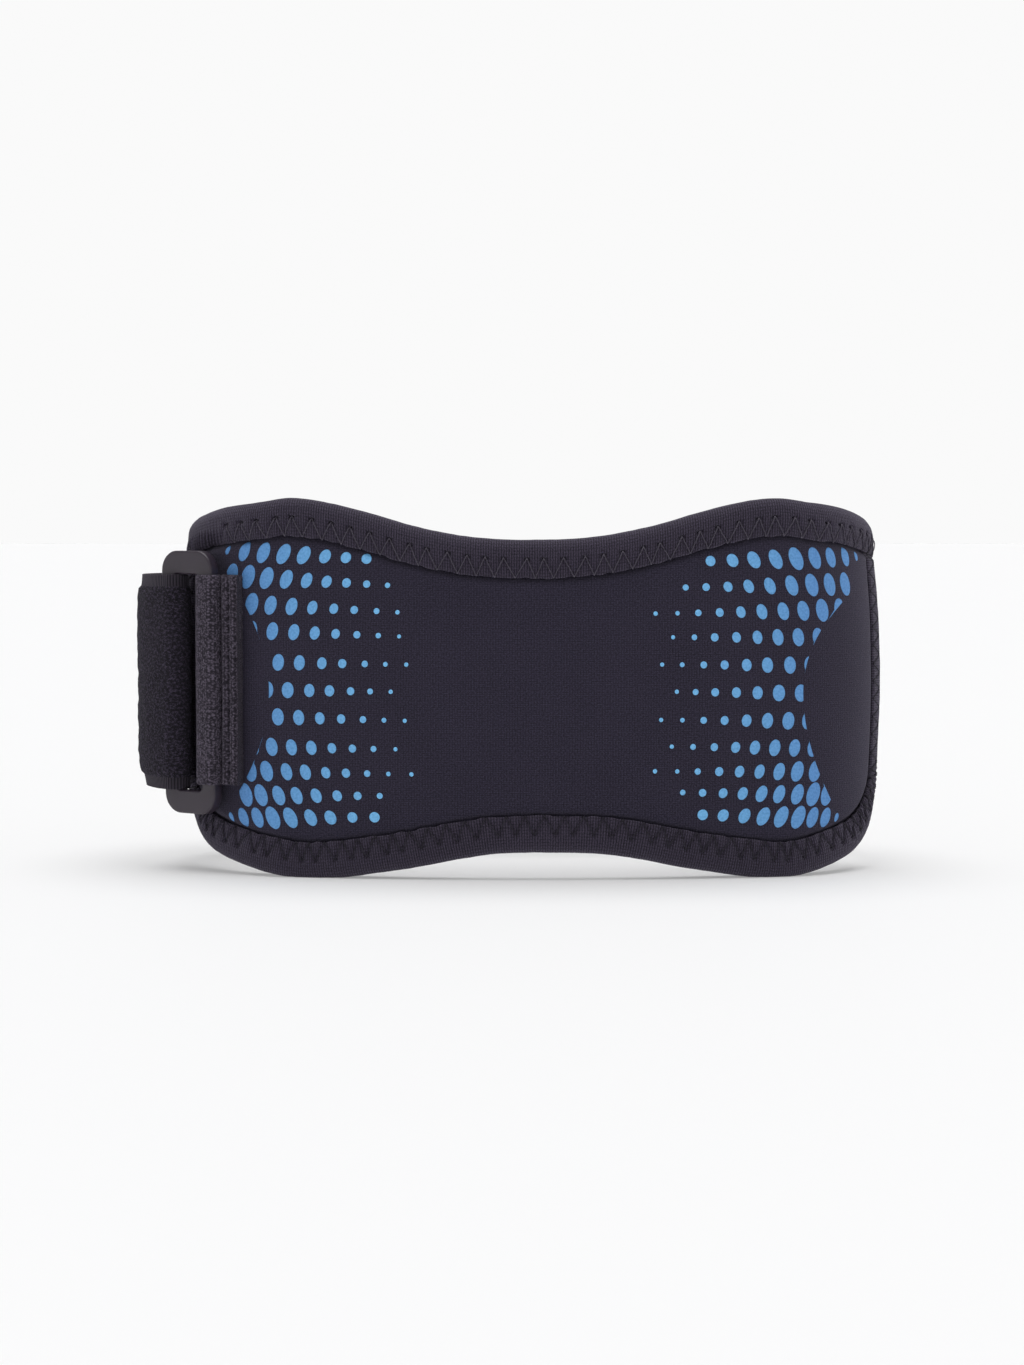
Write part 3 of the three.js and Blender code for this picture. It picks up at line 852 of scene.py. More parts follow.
    def _lower_half(self, side: int) -> Array:
        """One lower corner and the rise to the top binding, in s and z.

        Args:
            side: -1 for the left one, 1 for the right one.

        Returns:
            Points from the bottom edge upwards.
        """
        end = side * float(self.side_length(np.array(float(side))))
        start = end - side * self.corner_radius
        low = float(self.bottom(np.array(start)))
        slope = (float(self.bottom(np.array(start + side))) - low) * self.corner_radius
        full, radius = self.corner_fullness, self.corner_radius
        posts = np.array(
            [
                [start, low],
                [start + side * full * radius, low + full * slope],
                [end, low + (1 - full) * radius + slope / 2],
                [end, low + radius + slope / 2],
            ]
        )
        t = np.linspace(0, 1, self.side_points)[:, None]
        shares = ((1 - t) ** 3, 3 * (1 - t) ** 2 * t, 3 * (1 - t) * t**2, t**3)
        corner = sum(share * post for share, post in zip(shares, posts))
        top = float(self.top(np.array(end))) - self.binding_width - self.tape_gap
        rise = np.linspace(corner[-1, 1], top, self.side_points)[1:]
        return np.concatenate([corner, np.stack([np.full_like(rise, end), rise], axis=-1)])

    def lower_edge(self, step: float) -> tuple[Array, Array, Array]:
        """The lower outline from the left end's top round both corners to the right end's top.

        Args:
            step: Spacing of the points.

        Returns:
            Points in s and z, their outward directions and the run along the edge.
        """
        left, right = self._lower_half(-1), self._lower_half(1)
        s = np.linspace(left[0, 0], right[0, 0], self.edge_points)[1:-1]
        rough = np.concatenate([left[::-1], np.stack([s, self.bottom(s)], axis=-1), right])
        run = run_along(rough)
        even = np.linspace(0, run[-1], int(run[-1] / step) + 1)
        points = np.stack([np.interp(even, run, rough[:, n]) for n in range(2)], axis=-1)
        return points, beside_way(points), even


@dataclass(frozen=True)
class Zigzag:
    """A zigzag seam that holds folded tape: its legs run from the tape's lip to needle holes further in."""

    pitch: float = 4.4
    reach: float = 4.5
    unevenness: float = 0.45
    seed: int = 3
    hole_depth: float = 1.25
    groove_depth: float = 0.22
    pillow: float = 0.22
    thread_radius: float = 0.12
    hidden_until: float = 0.0
    hole_length: float = 0.72
    hole_width: float = 0.3
    groove_width: float = 0.3
    pillow_width: float = 0.9
    pillow_past: float = 2.2
    fade_before: float = 4.0
    fade_after: float = 1.0

    def holes(self, length: float) -> Array:
        """Where the needle holes lie along a tape of a given length."""
        count = int(length / self.pitch)
        wander = np.random.default_rng(self.seed).uniform(-self.unevenness, self.unevenness, count)
        return (np.arange(count) + 0.5) * length / count + wander

    def legs(self, length: float) -> tuple[Array, Array]:
        """Start and end of every leg along the tape: the hole, and the foot at the lip."""
        holes = self.holes(length)
        holes = holes[holes > self.hidden_until]
        middles = (holes[1:] + holes[:-1]) / 2
        return np.concatenate([holes[:-1], holes[1:]]), np.concatenate([middles, middles])

    def relief(self, run: Array, past: Array, length: float) -> Array:
        """How far the seam pulls the tape in, less how far it lets it swell between the legs.

        Args:
            run: Place along the tape.
            past: Distance from the tape's lip towards the fold.
            length: The tape's whole length.

        Returns:
            Height above the tape's own form, negative in the holes and grooves.
        """
        holes = self.holes(length)
        near = np.searchsorted(holes, run)
        result = np.zeros(np.broadcast(run, past).shape)
        nearest = np.full(result.shape, self.pitch)
        for step in (-1, 0):
            index = np.clip(near + step, 0, len(holes) - 1)
            hole = bump(run, holes[index], self.hole_length) * bump(past, self.reach, self.hole_width)
            result = result - self.hole_depth * hole
            other = np.clip(index + (1 if step else -1), 0, len(holes) - 1)
            foot = (holes[index] + holes[other]) / 2
            du, dv = foot - holes[index], -self.reach
            along = (run - holes[index]) * du + (past - self.reach) * dv
            t = np.clip(along / (du**2 + dv**2), 0, 1)
            gap = np.hypot(run - holes[index] - t * du, past - self.reach - t * dv)
            nearest = np.minimum(nearest, gap)
        sewn = ease(past, self.reach + self.pillow_past, self.reach - self.hole_width)
        result = result - self.groove_depth * bump(nearest, 0.0, self.groove_width)
        result = result + self.pillow * sewn * (1 - bump(nearest, 0.0, self.pillow_width))
        return result * ease(run, self.hidden_until - self.fade_before, self.hidden_until + self.fade_after)


@dataclass(frozen=True)
class SkinRow:
    """One row of the tape's outer surface: shares of its width in from the fold and of its thickness."""

    across: float
    through: float


TAPE_SKIN = (
    SkinRow(1.0, 0.08),
    SkinRow(0.55, 0.0),
    SkinRow(0.2, 0.04),
    SkinRow(0.05, 0.2),
    SkinRow(0.0, 0.5),
    SkinRow(0.05, 0.8),
    SkinRow(0.2, 0.96),
    SkinRow(0.55, 1.0),
    SkinRow(1.0, 0.92),
)


@dataclass(frozen=True)
class Tape:
    """Knit tape folded over the panel's edge and sewn down with a zigzag."""

    form: PanelForm
    width: float = 8.8
    thickness: float = 6.6
    wall: float = 1.1
    proud: float = 0.5
    clearance: float = 0.3
    lip_tuck: float = 0.28
    station_step: float = 0.3
    face_points: int = 30
    face_share: float = 0.78
    fold_points: int = 15
    fine_points: int = 600
    inner_points: int = 8
    inner_inset: float = 0.1

    def section(self) -> tuple[Array, Array, Array]:
        """The tape's outer surface from the front lip round the fold to the back lip.

        Returns:
            Distance in from the fold, depth behind the panel's face, and outward directions in those two.
        """
        rows = np.array([[row.across * self.width, row.through * self.thickness] for row in TAPE_SKIN])
        rows[:, 1] -= self.proud
        run = run_along(rows)
        slopes = np.gradient(rows, run, axis=0)
        fine = np.linspace(0, run[-1], self.fine_points)
        curve = [through_rows(fine, run, rows[:, n], slopes[:, n]) for n in range(2)]
        face = self.width * self.face_share / run[-1]
        half = np.linspace(0, face, self.face_points)
        fold = np.linspace(face, 1 - face, self.fold_points + 2)[1:-1]
        share = np.concatenate([half, fold, 1 - half[::-1]]) * run[-1]
        points = np.stack([np.interp(share, fine, values) for values in curve], axis=-1)
        outward = beside_way(points)
        return points[:, 0], points[:, 1], outward * (1 if outward[0, 1] < 0 else -1)

    def inside(self) -> Array:
        """The tape's inner surface from back lip to front lip, as distance from the fold and depth."""
        front = self.wall - self.proud
        back = self.thickness - self.wall - self.proud
        reach = np.linspace(self.width - self.inner_inset, self.wall + self.clearance, self.inner_points)
        return np.concatenate(
            [
                np.stack([reach, np.full_like(reach, back)], axis=-1),
                [[self.wall, (front + back) / 2]],
                np.stack([reach[::-1], np.full_like(reach, front)], axis=-1),
            ]
        )


@dataclass(frozen=True)
class Binding(Tape):
    """One binding: where its fold runs and how its tape is gathered."""

    name: str = "top_tape"
    node: str = "top_binding"
    zigzag: Zigzag = Zigzag()
    is_top: bool = True
    lap: float = 0.8
    end_radius: float = 4.0
    end_drop: float = 2.8
    gather: float = 0.42
    gather_pitch: float = 1.75
    scallop: float = 0.05
    scallop_from: tuple[float, float] = (4.5, 1.0)
    bunched_until: float = 0.0
    bunching: float = 0.34
    bunching_pitch: float = 1.1
    bunching_fade: tuple[float, float] = (8.0, -4.0)
    bunching_past: tuple[float, float] = (5.0, 2.0)
    upright_share: float = 0.35
    upright_from: tuple[float, float] = (20.0, 30.0)
    corner_sharpness: float = 14.0
    face_from: tuple[float, float] = (3.6, 1.8)
    lip_width: float = 1.2
    lip_offset: float = 0.3
    lip_relief: Grain = Grain(0.22, 1.7, 15)
    waves: Grain = Grain(0.07, 7.0, 11)
    dimples: Grain = Grain(0.03, 1.6, 12)
    pleat_wander: Grain = Grain(1.6, 5.0, 13)
    bunching_wander: Grain = Grain(2.2, 3.0, 14)
    stitch_width: float = 0.9
    tuck_length: float = 5.4
    tuck_thin: float = 0.36
    tuck_share: float = 0.35
    tuck_stations: int = 7
    end_plate: float = 0.5
    leg_points: int = 9
    leg_start: float = 0.12
    leg_arch: float = 0.16
    leg_dive: float = 0.2
    leg_dive_share: float = 0.12
    thread_lift: float = 0.02
    least_height: float = 0.2

    def stations(self) -> tuple[Array, ...]:
        """Where the fold runs.

        Returns:
            Points in s and z, outward directions, the run along the fold, and the tape's width and thickness
            there as shares of the whole.
        """
        if not self.is_top:
            points, outward, run = self.form.lower_edge(self.station_step)
            return self._tucked_under(points, outward, run)
        low, high = -(self.form.left_length + self.lap), self.form.right_length + self.lap
        count = int((high - low) / self.station_step)
        s = np.linspace(low, high, count)
        within = np.clip(np.minimum(s - low, high - s) / self.end_radius, 0, 1)
        drop = self.end_drop * (1 - np.sqrt(1 - (1 - within) ** 2))
        z = self.form.top(np.clip(s, -self.form.left_length, self.form.right_length)) - drop
        outward = np.stack([np.zeros_like(s), np.ones_like(s)], axis=-1)
        points = np.stack([s, z], axis=-1)
        return points, outward, s - low, (self.width - drop) / self.width, np.ones_like(s)

    def _tucked_under(self, points: Array, outward: Array, run: Array) -> tuple[Array, ...]:
        """Carry the side tape on upwards at both ends, where the top tape laps over it.

        Args:
            points: The fold's points in s and z.
            outward: Their outward directions.
            run: The run along the fold.

        Returns:
            The same with the added stations, and the tape's width and thickness at each.
        """
        rise = np.arange(1, self.tuck_stations + 1) * self.tuck_length / self.tuck_stations
        thin = self.tuck_thin * ease(rise, 0.0, self.tuck_share * self.tuck_length)
        left, right = outward[0], outward[-1]
        up = np.stack([0 * rise, rise], axis=-1)
        low = points[0] + up[::-1] - left * thin[::-1, None] * self.thickness / 2
        high = points[-1] + up - right * thin[:, None] * self.thickness / 2
        ends = self.tuck_length + run[-1] + rise
        return (
            np.concatenate([low, points, high]),
            np.concatenate([np.tile(left, (len(rise), 1)), outward, np.tile(right, (len(rise), 1))]),
            np.concatenate([self.tuck_length - rise[::-1], run + self.tuck_length, ends]),
            np.ones(len(run) + 2 * len(rise)),
            1 - np.concatenate([thin[::-1], np.zeros(len(run)), thin]),
        )

    def relief(self, run: Array, across: Array, face: Array, turning: Array) -> Array:
        """Everything that lifts or sinks the tape's surface.

        Args:
            run: Place along the fold.
            across: Distance in from the fold.
            face: 1 on the two faces, 0 on the fold.
            turning: How sharply the fold turns there, 1 in the lower corners.

        Returns:
            Height above the tape's own form.
        """
        past = self.width - across
        sewn = self.zigzag.relief(run, past, float(run.max())) * face
        lip = -self.lip_tuck * ease(past, self.lip_width / 2, 0.0)
        uneven = self.waves.at(run, across) + self.dimples.at(run, across)
        phase = FULL_TURN * run / self.gather_pitch + self.pleat_wander.at(run, run * 0)
        pleats = self.gather * turning * np.sin(phase) * ease(across, 1.0, self.width)
        if self.bunched_until:
            phase = FULL_TURN * run / self.bunching_pitch + self.bunching_wander.at(run, run * 0)
            near_end = ease(run - self.bunched_until, *self.bunching_fade)
            pleats = pleats + self.bunching * np.sin(phase) * near_end * ease(past, *self.bunching_past)
        return sewn + lip + uneven + pleats

    def surface(self) -> tuple[Array, Array]:
        """The whole tape's rings.

        Returns:
            Places in the frame, and places on the cloth.
        """
        points, outward, run, squeeze, thickness = self.stations()
        across, depth, normal = self.section()
        angle = np.unwrap(np.arctan2(outward[:, 1], outward[:, 0]))
        turning = np.clip(np.abs(np.gradient(angle, run)) * self.corner_sharpness, 0, 1)
        face = 1 - ease(across, *self.face_from)
        upright = ease(points[:, 1], *self.upright_from) * (0 if self.is_top else 1)
        stitched = face[None] * (1 - (1 - self.upright_share) * upright[:, None])
        lift = self.relief(run[:, None], across[None], stitched, turning[:, None])
        holes = self.zigzag.holes(float(run.max()))
        nearest = np.abs(run[:, None] - holes[None]).min(axis=1)
        scallop = self.scallop * upright * bump(nearest, 0, self.stitch_width)
        lift = lift - scallop[:, None] * ease(across, *self.scallop_from)[None]
        skin = across[None] + normal[None, :, 0] * lift
        under = depth[None] + normal[None, :, 1] * lift
        inner = self.inside()
        from_tip = np.minimum(run, run.max() - run)[:, None]
        shut = self.is_top & (from_tip < self.end_plate)
        inner_across = np.where(shut, self.width - self.inner_inset, inner[None, :, 0])
        all_across = np.concatenate([skin, inner_across], axis=1)
        all_depth = np.concatenate([under, np.tile(inner[:, 1], (len(run), 1))], axis=1)
        middle = self.thickness / 2 - self.proud
        all_depth = middle + (all_depth - middle) * thickness[:, None]
        near_lip = ease(all_across, self.width - self.lip_width, self.width)
        wander = self.lip_relief.at(run, run * 0) - self.lip_offset * self.lip_relief.height
        all_across = all_across + near_lip * wander[:, None]
        back = all_across * squeeze[:, None]
        s = points[:, :1] - outward[:, :1] * back
        z = np.maximum(points[:, 1:] - outward[:, 1:] * back, 0.0)
        signed = np.where(np.arange(all_across.shape[1]) < len(across) // 2, 1, -1)
        return self.form.place(s, z, all_depth), on_cloth(run[:, None], all_across * signed, 0.0)

    def threads(self, shell: Shell, front: bool) -> None:
        """Lay the zigzag's thread on one face.

        Args:
            shell: The piece that takes the threads.
            front: Whether it is the front face.
        """
        points, outward, run, squeeze, _ = self.stations()
        across, depth, _ = self.section()
        half = len(across) // 2
        order = np.argsort(across[:half])
        length = float(run.max())
        start, foot = self.zigzag.legs(length)
        t = np.linspace(0, 1, self.leg_points)
        along = start[:, None] + (foot - start)[:, None] * t
        past = self.zigzag.reach * (1 - t)[None] + self.leg_start + 0 * along
        inward = self.width - past
        flat = np.interp(inward, across[:half][order], depth[:half][order])
        lift = self.relief(along, inward, np.ones_like(along), np.zeros_like(along))
        dive = self.leg_dive * (1 - ease(np.minimum(t, 1 - t), 0.0, self.leg_dive_share))
        arch = self.leg_arch * np.sin(math.pi * t) - dive
        height = lift + (self.zigzag.thread_radius + arch)[None]
        if not self.is_top:
            upright = ease(np.interp(along, run, points[:, 1]), *self.upright_from)
            height = height * (1 - upright) + upright * self.thread_lift
        under = flat - height if front else self.thickness - 2 * self.proud - flat + height
        base = np.stack([np.interp(along, run, points[:, n]) for n in range(2)], axis=-1)
        way = np.stack([np.interp(along, run, outward[:, n]) for n in range(2)], axis=-1)
        back = inward * np.interp(along, run, squeeze)
        s = base[..., 0] - way[..., 0] * back
        z = np.maximum(base[..., 1] - way[..., 1] * back, self.least_height)
        facing = self.form.outward(s) * (1 if front else -1)
        shell.tubes(self.form.place(s, z, under), facing, self.zigzag.thread_radius)

    def build(self) -> None:
        """Build the tape and its thread and put them in the frame."""
        shell = Shell()
        rings, weave = self.surface()
        shell.sweep(rings, weave)
        tape = shell.piece(self.name, [KNIT_TAPE.make()])
        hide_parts(self.node)
        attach(tape, "root")
        sewing = Shell()
        self.threads(sewing, True)
        self.threads(sewing, False)
        # The lower tape's zigzag takes the darker copy of the thread, painted shade.
        thread = sewing.piece(self.name + "_zigzag", [(THREAD if self.is_top else SHADED_LOWER_THREAD).make()])
        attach(thread, "root")


@dataclass(frozen=True)
class Pad:
    """The foam pad in its jersey cover."""

    form: PanelForm
    margin_depth: float = 1.5
    margin: float = 7.1
    swell_width: float = 2.4
    columns: int = 260
    rows: int = 130
    end_crowding: float = 0.82
    crown_power: float = 3.6
    pull: Grain = Grain(0.05, 3.3, 21)
    waves: Grain = Grain(0.035, 16.0, 22)
    dimples: Grain = Grain(0.012, 4.0, 23)
    back_offset: float = 400.0
    chunk: int = 4000

    def seam_distance(self, s: Array, z: Array) -> Array:
        """Distance from a point of the face to the nearest seam, negative under the tapes.

        Args:
            s: Length along the face.
            z: Height.

        Returns:
            The distance in millimetres.
        """
        edge, outward, _ = self.form.lower_edge(1.0)
        seam = edge - outward * self.form.binding_width
        flat_s, flat_z = s.reshape(-1), z.reshape(-1)
        nearest = np.empty(flat_s.shape)
        for chunk in np.array_split(np.arange(len(flat_s)), max(1, len(flat_s) // self.chunk)):
            du = flat_s[chunk, None] - seam[None, :, 0]
            dv = flat_z[chunk, None] - seam[None, :, 1]
            k = np.argmin(du**2 + dv**2, axis=1)
            rows = np.arange(len(chunk))
            nearest[chunk] = -(du[rows, k] * outward[k, 0] + dv[rows, k] * outward[k, 1])
        from_top = self.form.top(s) - self.form.binding_width - z
        return np.minimum(nearest.reshape(s.shape), from_top)

    def face_depth(self, s: Array, z: Array) -> Array:
        """Depth of the pad's front face behind the panel's face.

        Args:
            s: Length along the face.
            z: Height.

        Returns:
            The depth.
        """
        share = np.clip(self.seam_distance(s, z) / self.swell_width, 0, 1)
        hollow = self.margin_depth * (1 - share) ** self.crown_power
        pulled = self.pull.at(s, z) * np.exp(-3 * share)
        return hollow + pulled + self.waves.at(s, z) + self.dimples.at(s, z)

    def _crowded(self, count: int) -> Array:
        """Shares from 0 to 1, closer together near both ends."""
        t = np.linspace(0, 1, count)
        return t * (1 - self.end_crowding) + self.end_crowding * (0.5 - 0.5 * np.cos(math.pi * t))

    def grid(self) -> tuple[Array, Array]:
        """Places of the pad's grid in s and z, reaching under the tapes on all sides."""
        form = self.form
        inset = form.binding_width - self.margin
        length = form.left_length + form.right_length - 2 * inset
        s = -form.left_length + inset + length * self._crowded(self.columns)
        edge, outward, _ = form.lower_edge(0.5)
        moved = edge - outward * inset
        turned = np.maximum.accumulate(moved[:, 0])
        low = np.interp(s, turned, moved[:, 1])
        high = form.top(s) - inset
        z = low[:, None] + (high - low)[:, None] * self._crowded(self.rows)
        return np.broadcast_to(s[:, None], z.shape), z

    def build(self) -> None:
        """Build the pad and put it in the frame."""
        s, z = self.grid()
        depth = self.face_depth(s, z)
        front = self.form.place(s, z, depth)
        back = self.form.place(s, z, self.form.thickness - depth)
        weave = on_cloth(s, z, 0.0)
        back_weave = on_cloth(s + self.back_offset, z, 0.0)
        shell = Shell()
        rings = np.concatenate([front, back[:, ::-1]], axis=1)
        shell.sweep(rings, np.concatenate([weave, back_weave[:, ::-1]], axis=1))
        pad = shell.piece("jersey_pad", [JERSEY.make()])
        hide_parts("front_panel")
        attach(pad, "root")


@dataclass(frozen=True)
class DotRow:
    """One row of printed dots, from the panel's middle outwards.

    Attributes:
        height: Height of its first dot.
        first: Where along the face its first dot lies.
        last: Where its last dot lies.
        count: How many dots it has.
        crowding: How much they crowd towards the end.
        rise: How far the row rises up to there.
    """

    height: float
    first: float
    last: float
    count: int
    crowding: float
    rise: float


RIGHT_DOTS = (
    DotRow(14.7, 38.6, 72.4, 9, 0.22, -1.6),
    DotRow(19.9, 34.0, 69.5, 9, 0.08, -1.2),
    DotRow(24.8, 27.7, 65.8, 9, 0.05, -0.6),
    DotRow(30.4, 31.6, 65.1, 8, 0.04, -0.8),
    DotRow(36.5, 28.9, 63.9, 8, 0.0, -0.6),
    DotRow(42.9, 32.5, 62.0, 7, -0.1, -0.6),
    DotRow(49.1, 29.1, 64.3, 8, -0.04, -0.4),
    DotRow(55.3, 31.8, 66.5, 8, -0.04, -0.2),
    DotRow(60.7, 27.8, 72.9, 10, -0.04, 0.6),
    DotRow(66.6, 34.5, 75.1, 9, -0.04, 0.6),
    DotRow(72.6, 40.3, 80.2, 9, 0.03, 1.0),
)
LEFT_DOTS = (
    DotRow(14.2, 36.4, 71.9, 9, 0.21, -0.9),
    DotRow(19.1, 35.1, 67.5, 8, 0.12, -0.4),
    DotRow(24.1, 28.0, 66.3, 9, 0.06, 0.3),
    DotRow(29.8, 31.6, 65.3, 8, 0.04, 0.2),
    DotRow(36.3, 29.3, 59.2, 7, -0.04, 0.6),
    DotRow(42.9, 32.6, 61.6, 7, -0.04, 0.2),
    DotRow(49.1, 28.9, 59.0, 7, -0.04, 0.3),
    DotRow(55.5, 30.7, 65.5, 8, -0.04, 1.2),
    DotRow(61.0, 31.0, 65.7, 8, 0.0, 1.7),
    DotRow(67.1, 33.3, 71.3, 9, -0.02, 2.1),
    DotRow(73.1, 38.2, 72.5, 8, -0.02, 1.9),
)


@dataclass(frozen=True)
class PrintEdge:
    """The print's outer edge: how far out it is at mid height and how it flares above and below."""

    middle: float
    high: float
    high_curl: float
    low: float


RIGHT_EDGE = PrintEdge(middle=62.6, high=0.0214, high_curl=1.5e-5, low=0.0125)
LEFT_EDGE = PrintEdge(middle=61.2, high=0.0158, high_curl=0.0, low=0.0150)


@dataclass(frozen=True)
class InkRow:
    """One ring of a dot's skin: share of the way from its middle to its rim, and of the ink's thickness."""

    out: float
    up: float


INK_PROFILE = (
    InkRow(0.02, 1.0),
    InkRow(0.3, 1.0),
    InkRow(0.55, 1.0),
    InkRow(0.78, 1.0),
    InkRow(0.95, 0.85),
    InkRow(1.0, 0.0),
    InkRow(0.9, -1.0),
    InkRow(0.02, -1.0),
)


@dataclass(frozen=True)
class Halftone:
    """Printed dots at both sides of the panel, growing outwards and cut off by a curved edge."""

    pad: Pad
    middle_height: float = 42.7
    first_size: float = 1.0
    first_at: float = 33.0
    size_growth: float = 0.096
    least: float = 0.95
    row_gain: tuple[float, ...] = (0.0, 0.0, 0.0, 0.05, 0.22, 0.6)
    row_largest: tuple[float, ...] = (3.4, 3.4, 3.45, 4.2, 4.3, 4.2)
    outer_row_least: float = 2.4
    stretch: float = 0.27
    corner_stretch: float = 0.45
    pattern_middle: float = 0.4
    keep_off_seam: float = -0.3
    ink: float = 0.05
    rim_points: int = 30
    middle_row: int = 5
    taper_from: float = 0.6
    taper: float = 0.6
    last_taper_from: float = 0.9
    last_taper: float = 3.6
    wander: float = 0.15
    size_wander: float = 0.04
    plain_stretch: float = 1.03
    stretch_from: tuple[float, float] = (38.0, 58.0)
    least_share: float = 0.3
    seed: int = 40

    def edge(self, z: Array, side: int) -> Array:
        """Outer limit of the print at a height, as a length along the face."""
        rim = RIGHT_EDGE if side > 0 else LEFT_EDGE
        away = z - self.middle_height
        above = rim.high * away**2 + rim.high_curl * away**4
        return rim.middle + np.where(away > 0, above, rim.low * away**2)

    def size(self, run: float, row: int, share: float) -> float:
        """Mean width of a dot.

        Args:
            run: Where it lies along the face.
            row: Its row, counted from the middle one.
            share: How far along its row it is, from 0 to 1.

        Returns:
            The width.
        """
        size = max(self.least, self.first_size + self.size_growth * (run - self.first_at))
        size = min(size + self.row_gain[row], self.row_largest[row])
        if row < self.middle_row:
            return size
        taper = self.taper * max(0.0, share - self.taper_from)
        taper += self.last_taper * max(0.0, share - self.last_taper_from)
        return max(size, self.outer_row_least) * (1 - taper)

    def dots(self, side: int) -> list[Array]:
        """Rims of one side's dots.

        Args:
            side: -1 for the left side, 1 for the right one.

        Returns:
            For each dot its rim in s and z, with its middle as the first point.
        """
        found = []
        turn = np.arange(self.rim_points) * FULL_TURN / self.rim_points
        wander = np.random.default_rng(self.seed + side)
        for number, row in enumerate(RIGHT_DOTS if side > 0 else LEFT_DOTS):
            from_middle = abs(number - self.middle_row)
            for t in np.linspace(0, 1, row.count):
                run = row.first + (row.last - row.first) * (t + row.crowding * t * (1 - t))
                run += wander.uniform(-self.wander, self.wander)
                size = self.size(run, from_middle, t)
                size *= wander.uniform(1 - self.size_wander, 1 + self.size_wander)
                z = row.height + row.rise * t
                if run - size / 2 > self.edge(z, side):
                    continue
                tilt = math.atan2(z - self.middle_height, run) + math.pi / 2
                stretch = self.stretch + self.corner_stretch * from_middle / self.middle_row
                stretch = self.plain_stretch + stretch * float(ease(np.array(run), *self.stretch_from))
                u = size * math.sqrt(stretch) / 2 * np.cos(turn)
                v = size / math.sqrt(stretch) / 2 * np.sin(turn)
                rim_s = run + u * math.cos(tilt) - v * math.sin(tilt)
                rim_z = z + u * math.sin(tilt) + v * math.cos(tilt)
                if from_middle < self.middle_row:
                    rim_s = np.minimum(rim_s, self.edge(rim_z, side))
                rim = np.stack([rim_s, rim_z], axis=-1)
                rim = np.concatenate([rim.mean(axis=0, keepdims=True), rim])
                rim = rim * [side, 1] + [self.pattern_middle, 0]
                clear = self.pad.seam_distance(rim[:, 0], rim[:, 1]).min()
                if clear > self.keep_off_seam and np.ptp(rim_s) > self.least_share * size:
                    found.append(rim)
        return found

    def build(self) -> None:
        """Build the print and put it in the frame."""
        shell = Shell()
        rims = self.dots(-1) + self.dots(1)
        for rim in rims:
            middle, around = rim[:1], rim[1:]
            spots = np.stack([middle + (around - middle) * row.out for row in INK_PROFILE])
            lifts = self.ink * np.array([row.up for row in INK_PROFILE])
            depth = self.pad.face_depth(spots[..., 0], spots[..., 1]) - lifts[:, None]
            places = self.pad.form.place(spots[..., 0], spots[..., 1], depth)
            weave = on_cloth(spots[..., 0], spots[..., 1], 0.0)
            shell.sweep(places, weave, turned=bool(around[0, 0] < 0))
        made = shell.piece("halftone_print", [BLUE_INK.make()])
        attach(made, "root")
        log.info("halftone_print: %d dots", len(rims))


@dataclass(frozen=True)
class RingPlace:
    """Where the ring's two bars lie, worked out from the tab's seam as in the part's source."""

    form: PanelForm
    clearance: float = 0.3
    ring_width: float = 16.8
    ring_thickness: float = 2.8
    side_bar: float = 4.6
    middle_height: float = 44.4
    tab_thickness: float = 1.4
    layer_gap: float = 0.25
    tab_seam: float = 70.3
    foot_radius: float = 0.9

    @property
    def tilt(self) -> float:
        """The ring's turn away from straight across."""
        return float(self.form.heading(np.array(-self.tab_seam)))

    @property
    def along(self) -> Array:
        """From the left bar to the right bar, in plan."""
        return np.array([math.cos(self.tilt), -math.sin(self.tilt)])

    @property
    def out(self) -> Array:
        """Away from the panel, in plan."""
        return np.array([-math.sin(self.tilt), -math.cos(self.tilt)])

    @property
    def bar_straight(self) -> float:
        """From a bar's middle to where what wraps it starts to turn."""
        return (self.side_bar - self.ring_thickness) / 2

    @property
    def back_rise(self) -> float:
        """Middle of the tab's lower layer above the panel's face."""
        return self.clearance + self.tab_thickness / 2

    @property
    def front_rise(self) -> float:
        """Middle of the tab's upper layer above the panel's face."""
        return self.back_rise + self.tab_thickness + self.layer_gap

    @property
    def ring_rise(self) -> float:
        """Middle of the ring above the panel's face."""
        return 2 * self.clearance + self.tab_thickness + self.ring_thickness / 2

    @property
    def tab_wrap(self) -> float:
        """Radius of the tab's middle round the bar."""
        return self.ring_thickness / 2 + self.clearance + self.tab_thickness / 2

    @property
    def foot_turn(self) -> float:
        """Angle of each of the two bends that bring the upper layer down."""
        drop = self.front_rise - self.ring_rise
        return math.acos((self.foot_radius + drop) / (self.tab_wrap + self.foot_radius))

    @property
    def seam_to_bar(self) -> float:
        """From the tab's seam to the middle of the right bar."""
        return self.bar_straight + (self.tab_wrap + self.foot_radius) * math.sin(self.foot_turn)

    @property
    def right_bar(self) -> Array:
        """Middle of the right bar, on the plan's own axes."""
        seam = self.form.beside(np.array(-self.tab_seam), np.array(self.ring_rise))
        return seam - self.along * self.seam_to_bar

    @property
    def left_bar(self) -> Array:
        """Middle of the left bar, on the plan's own axes."""
        return self.right_bar - self.along * (self.ring_width - self.side_bar)


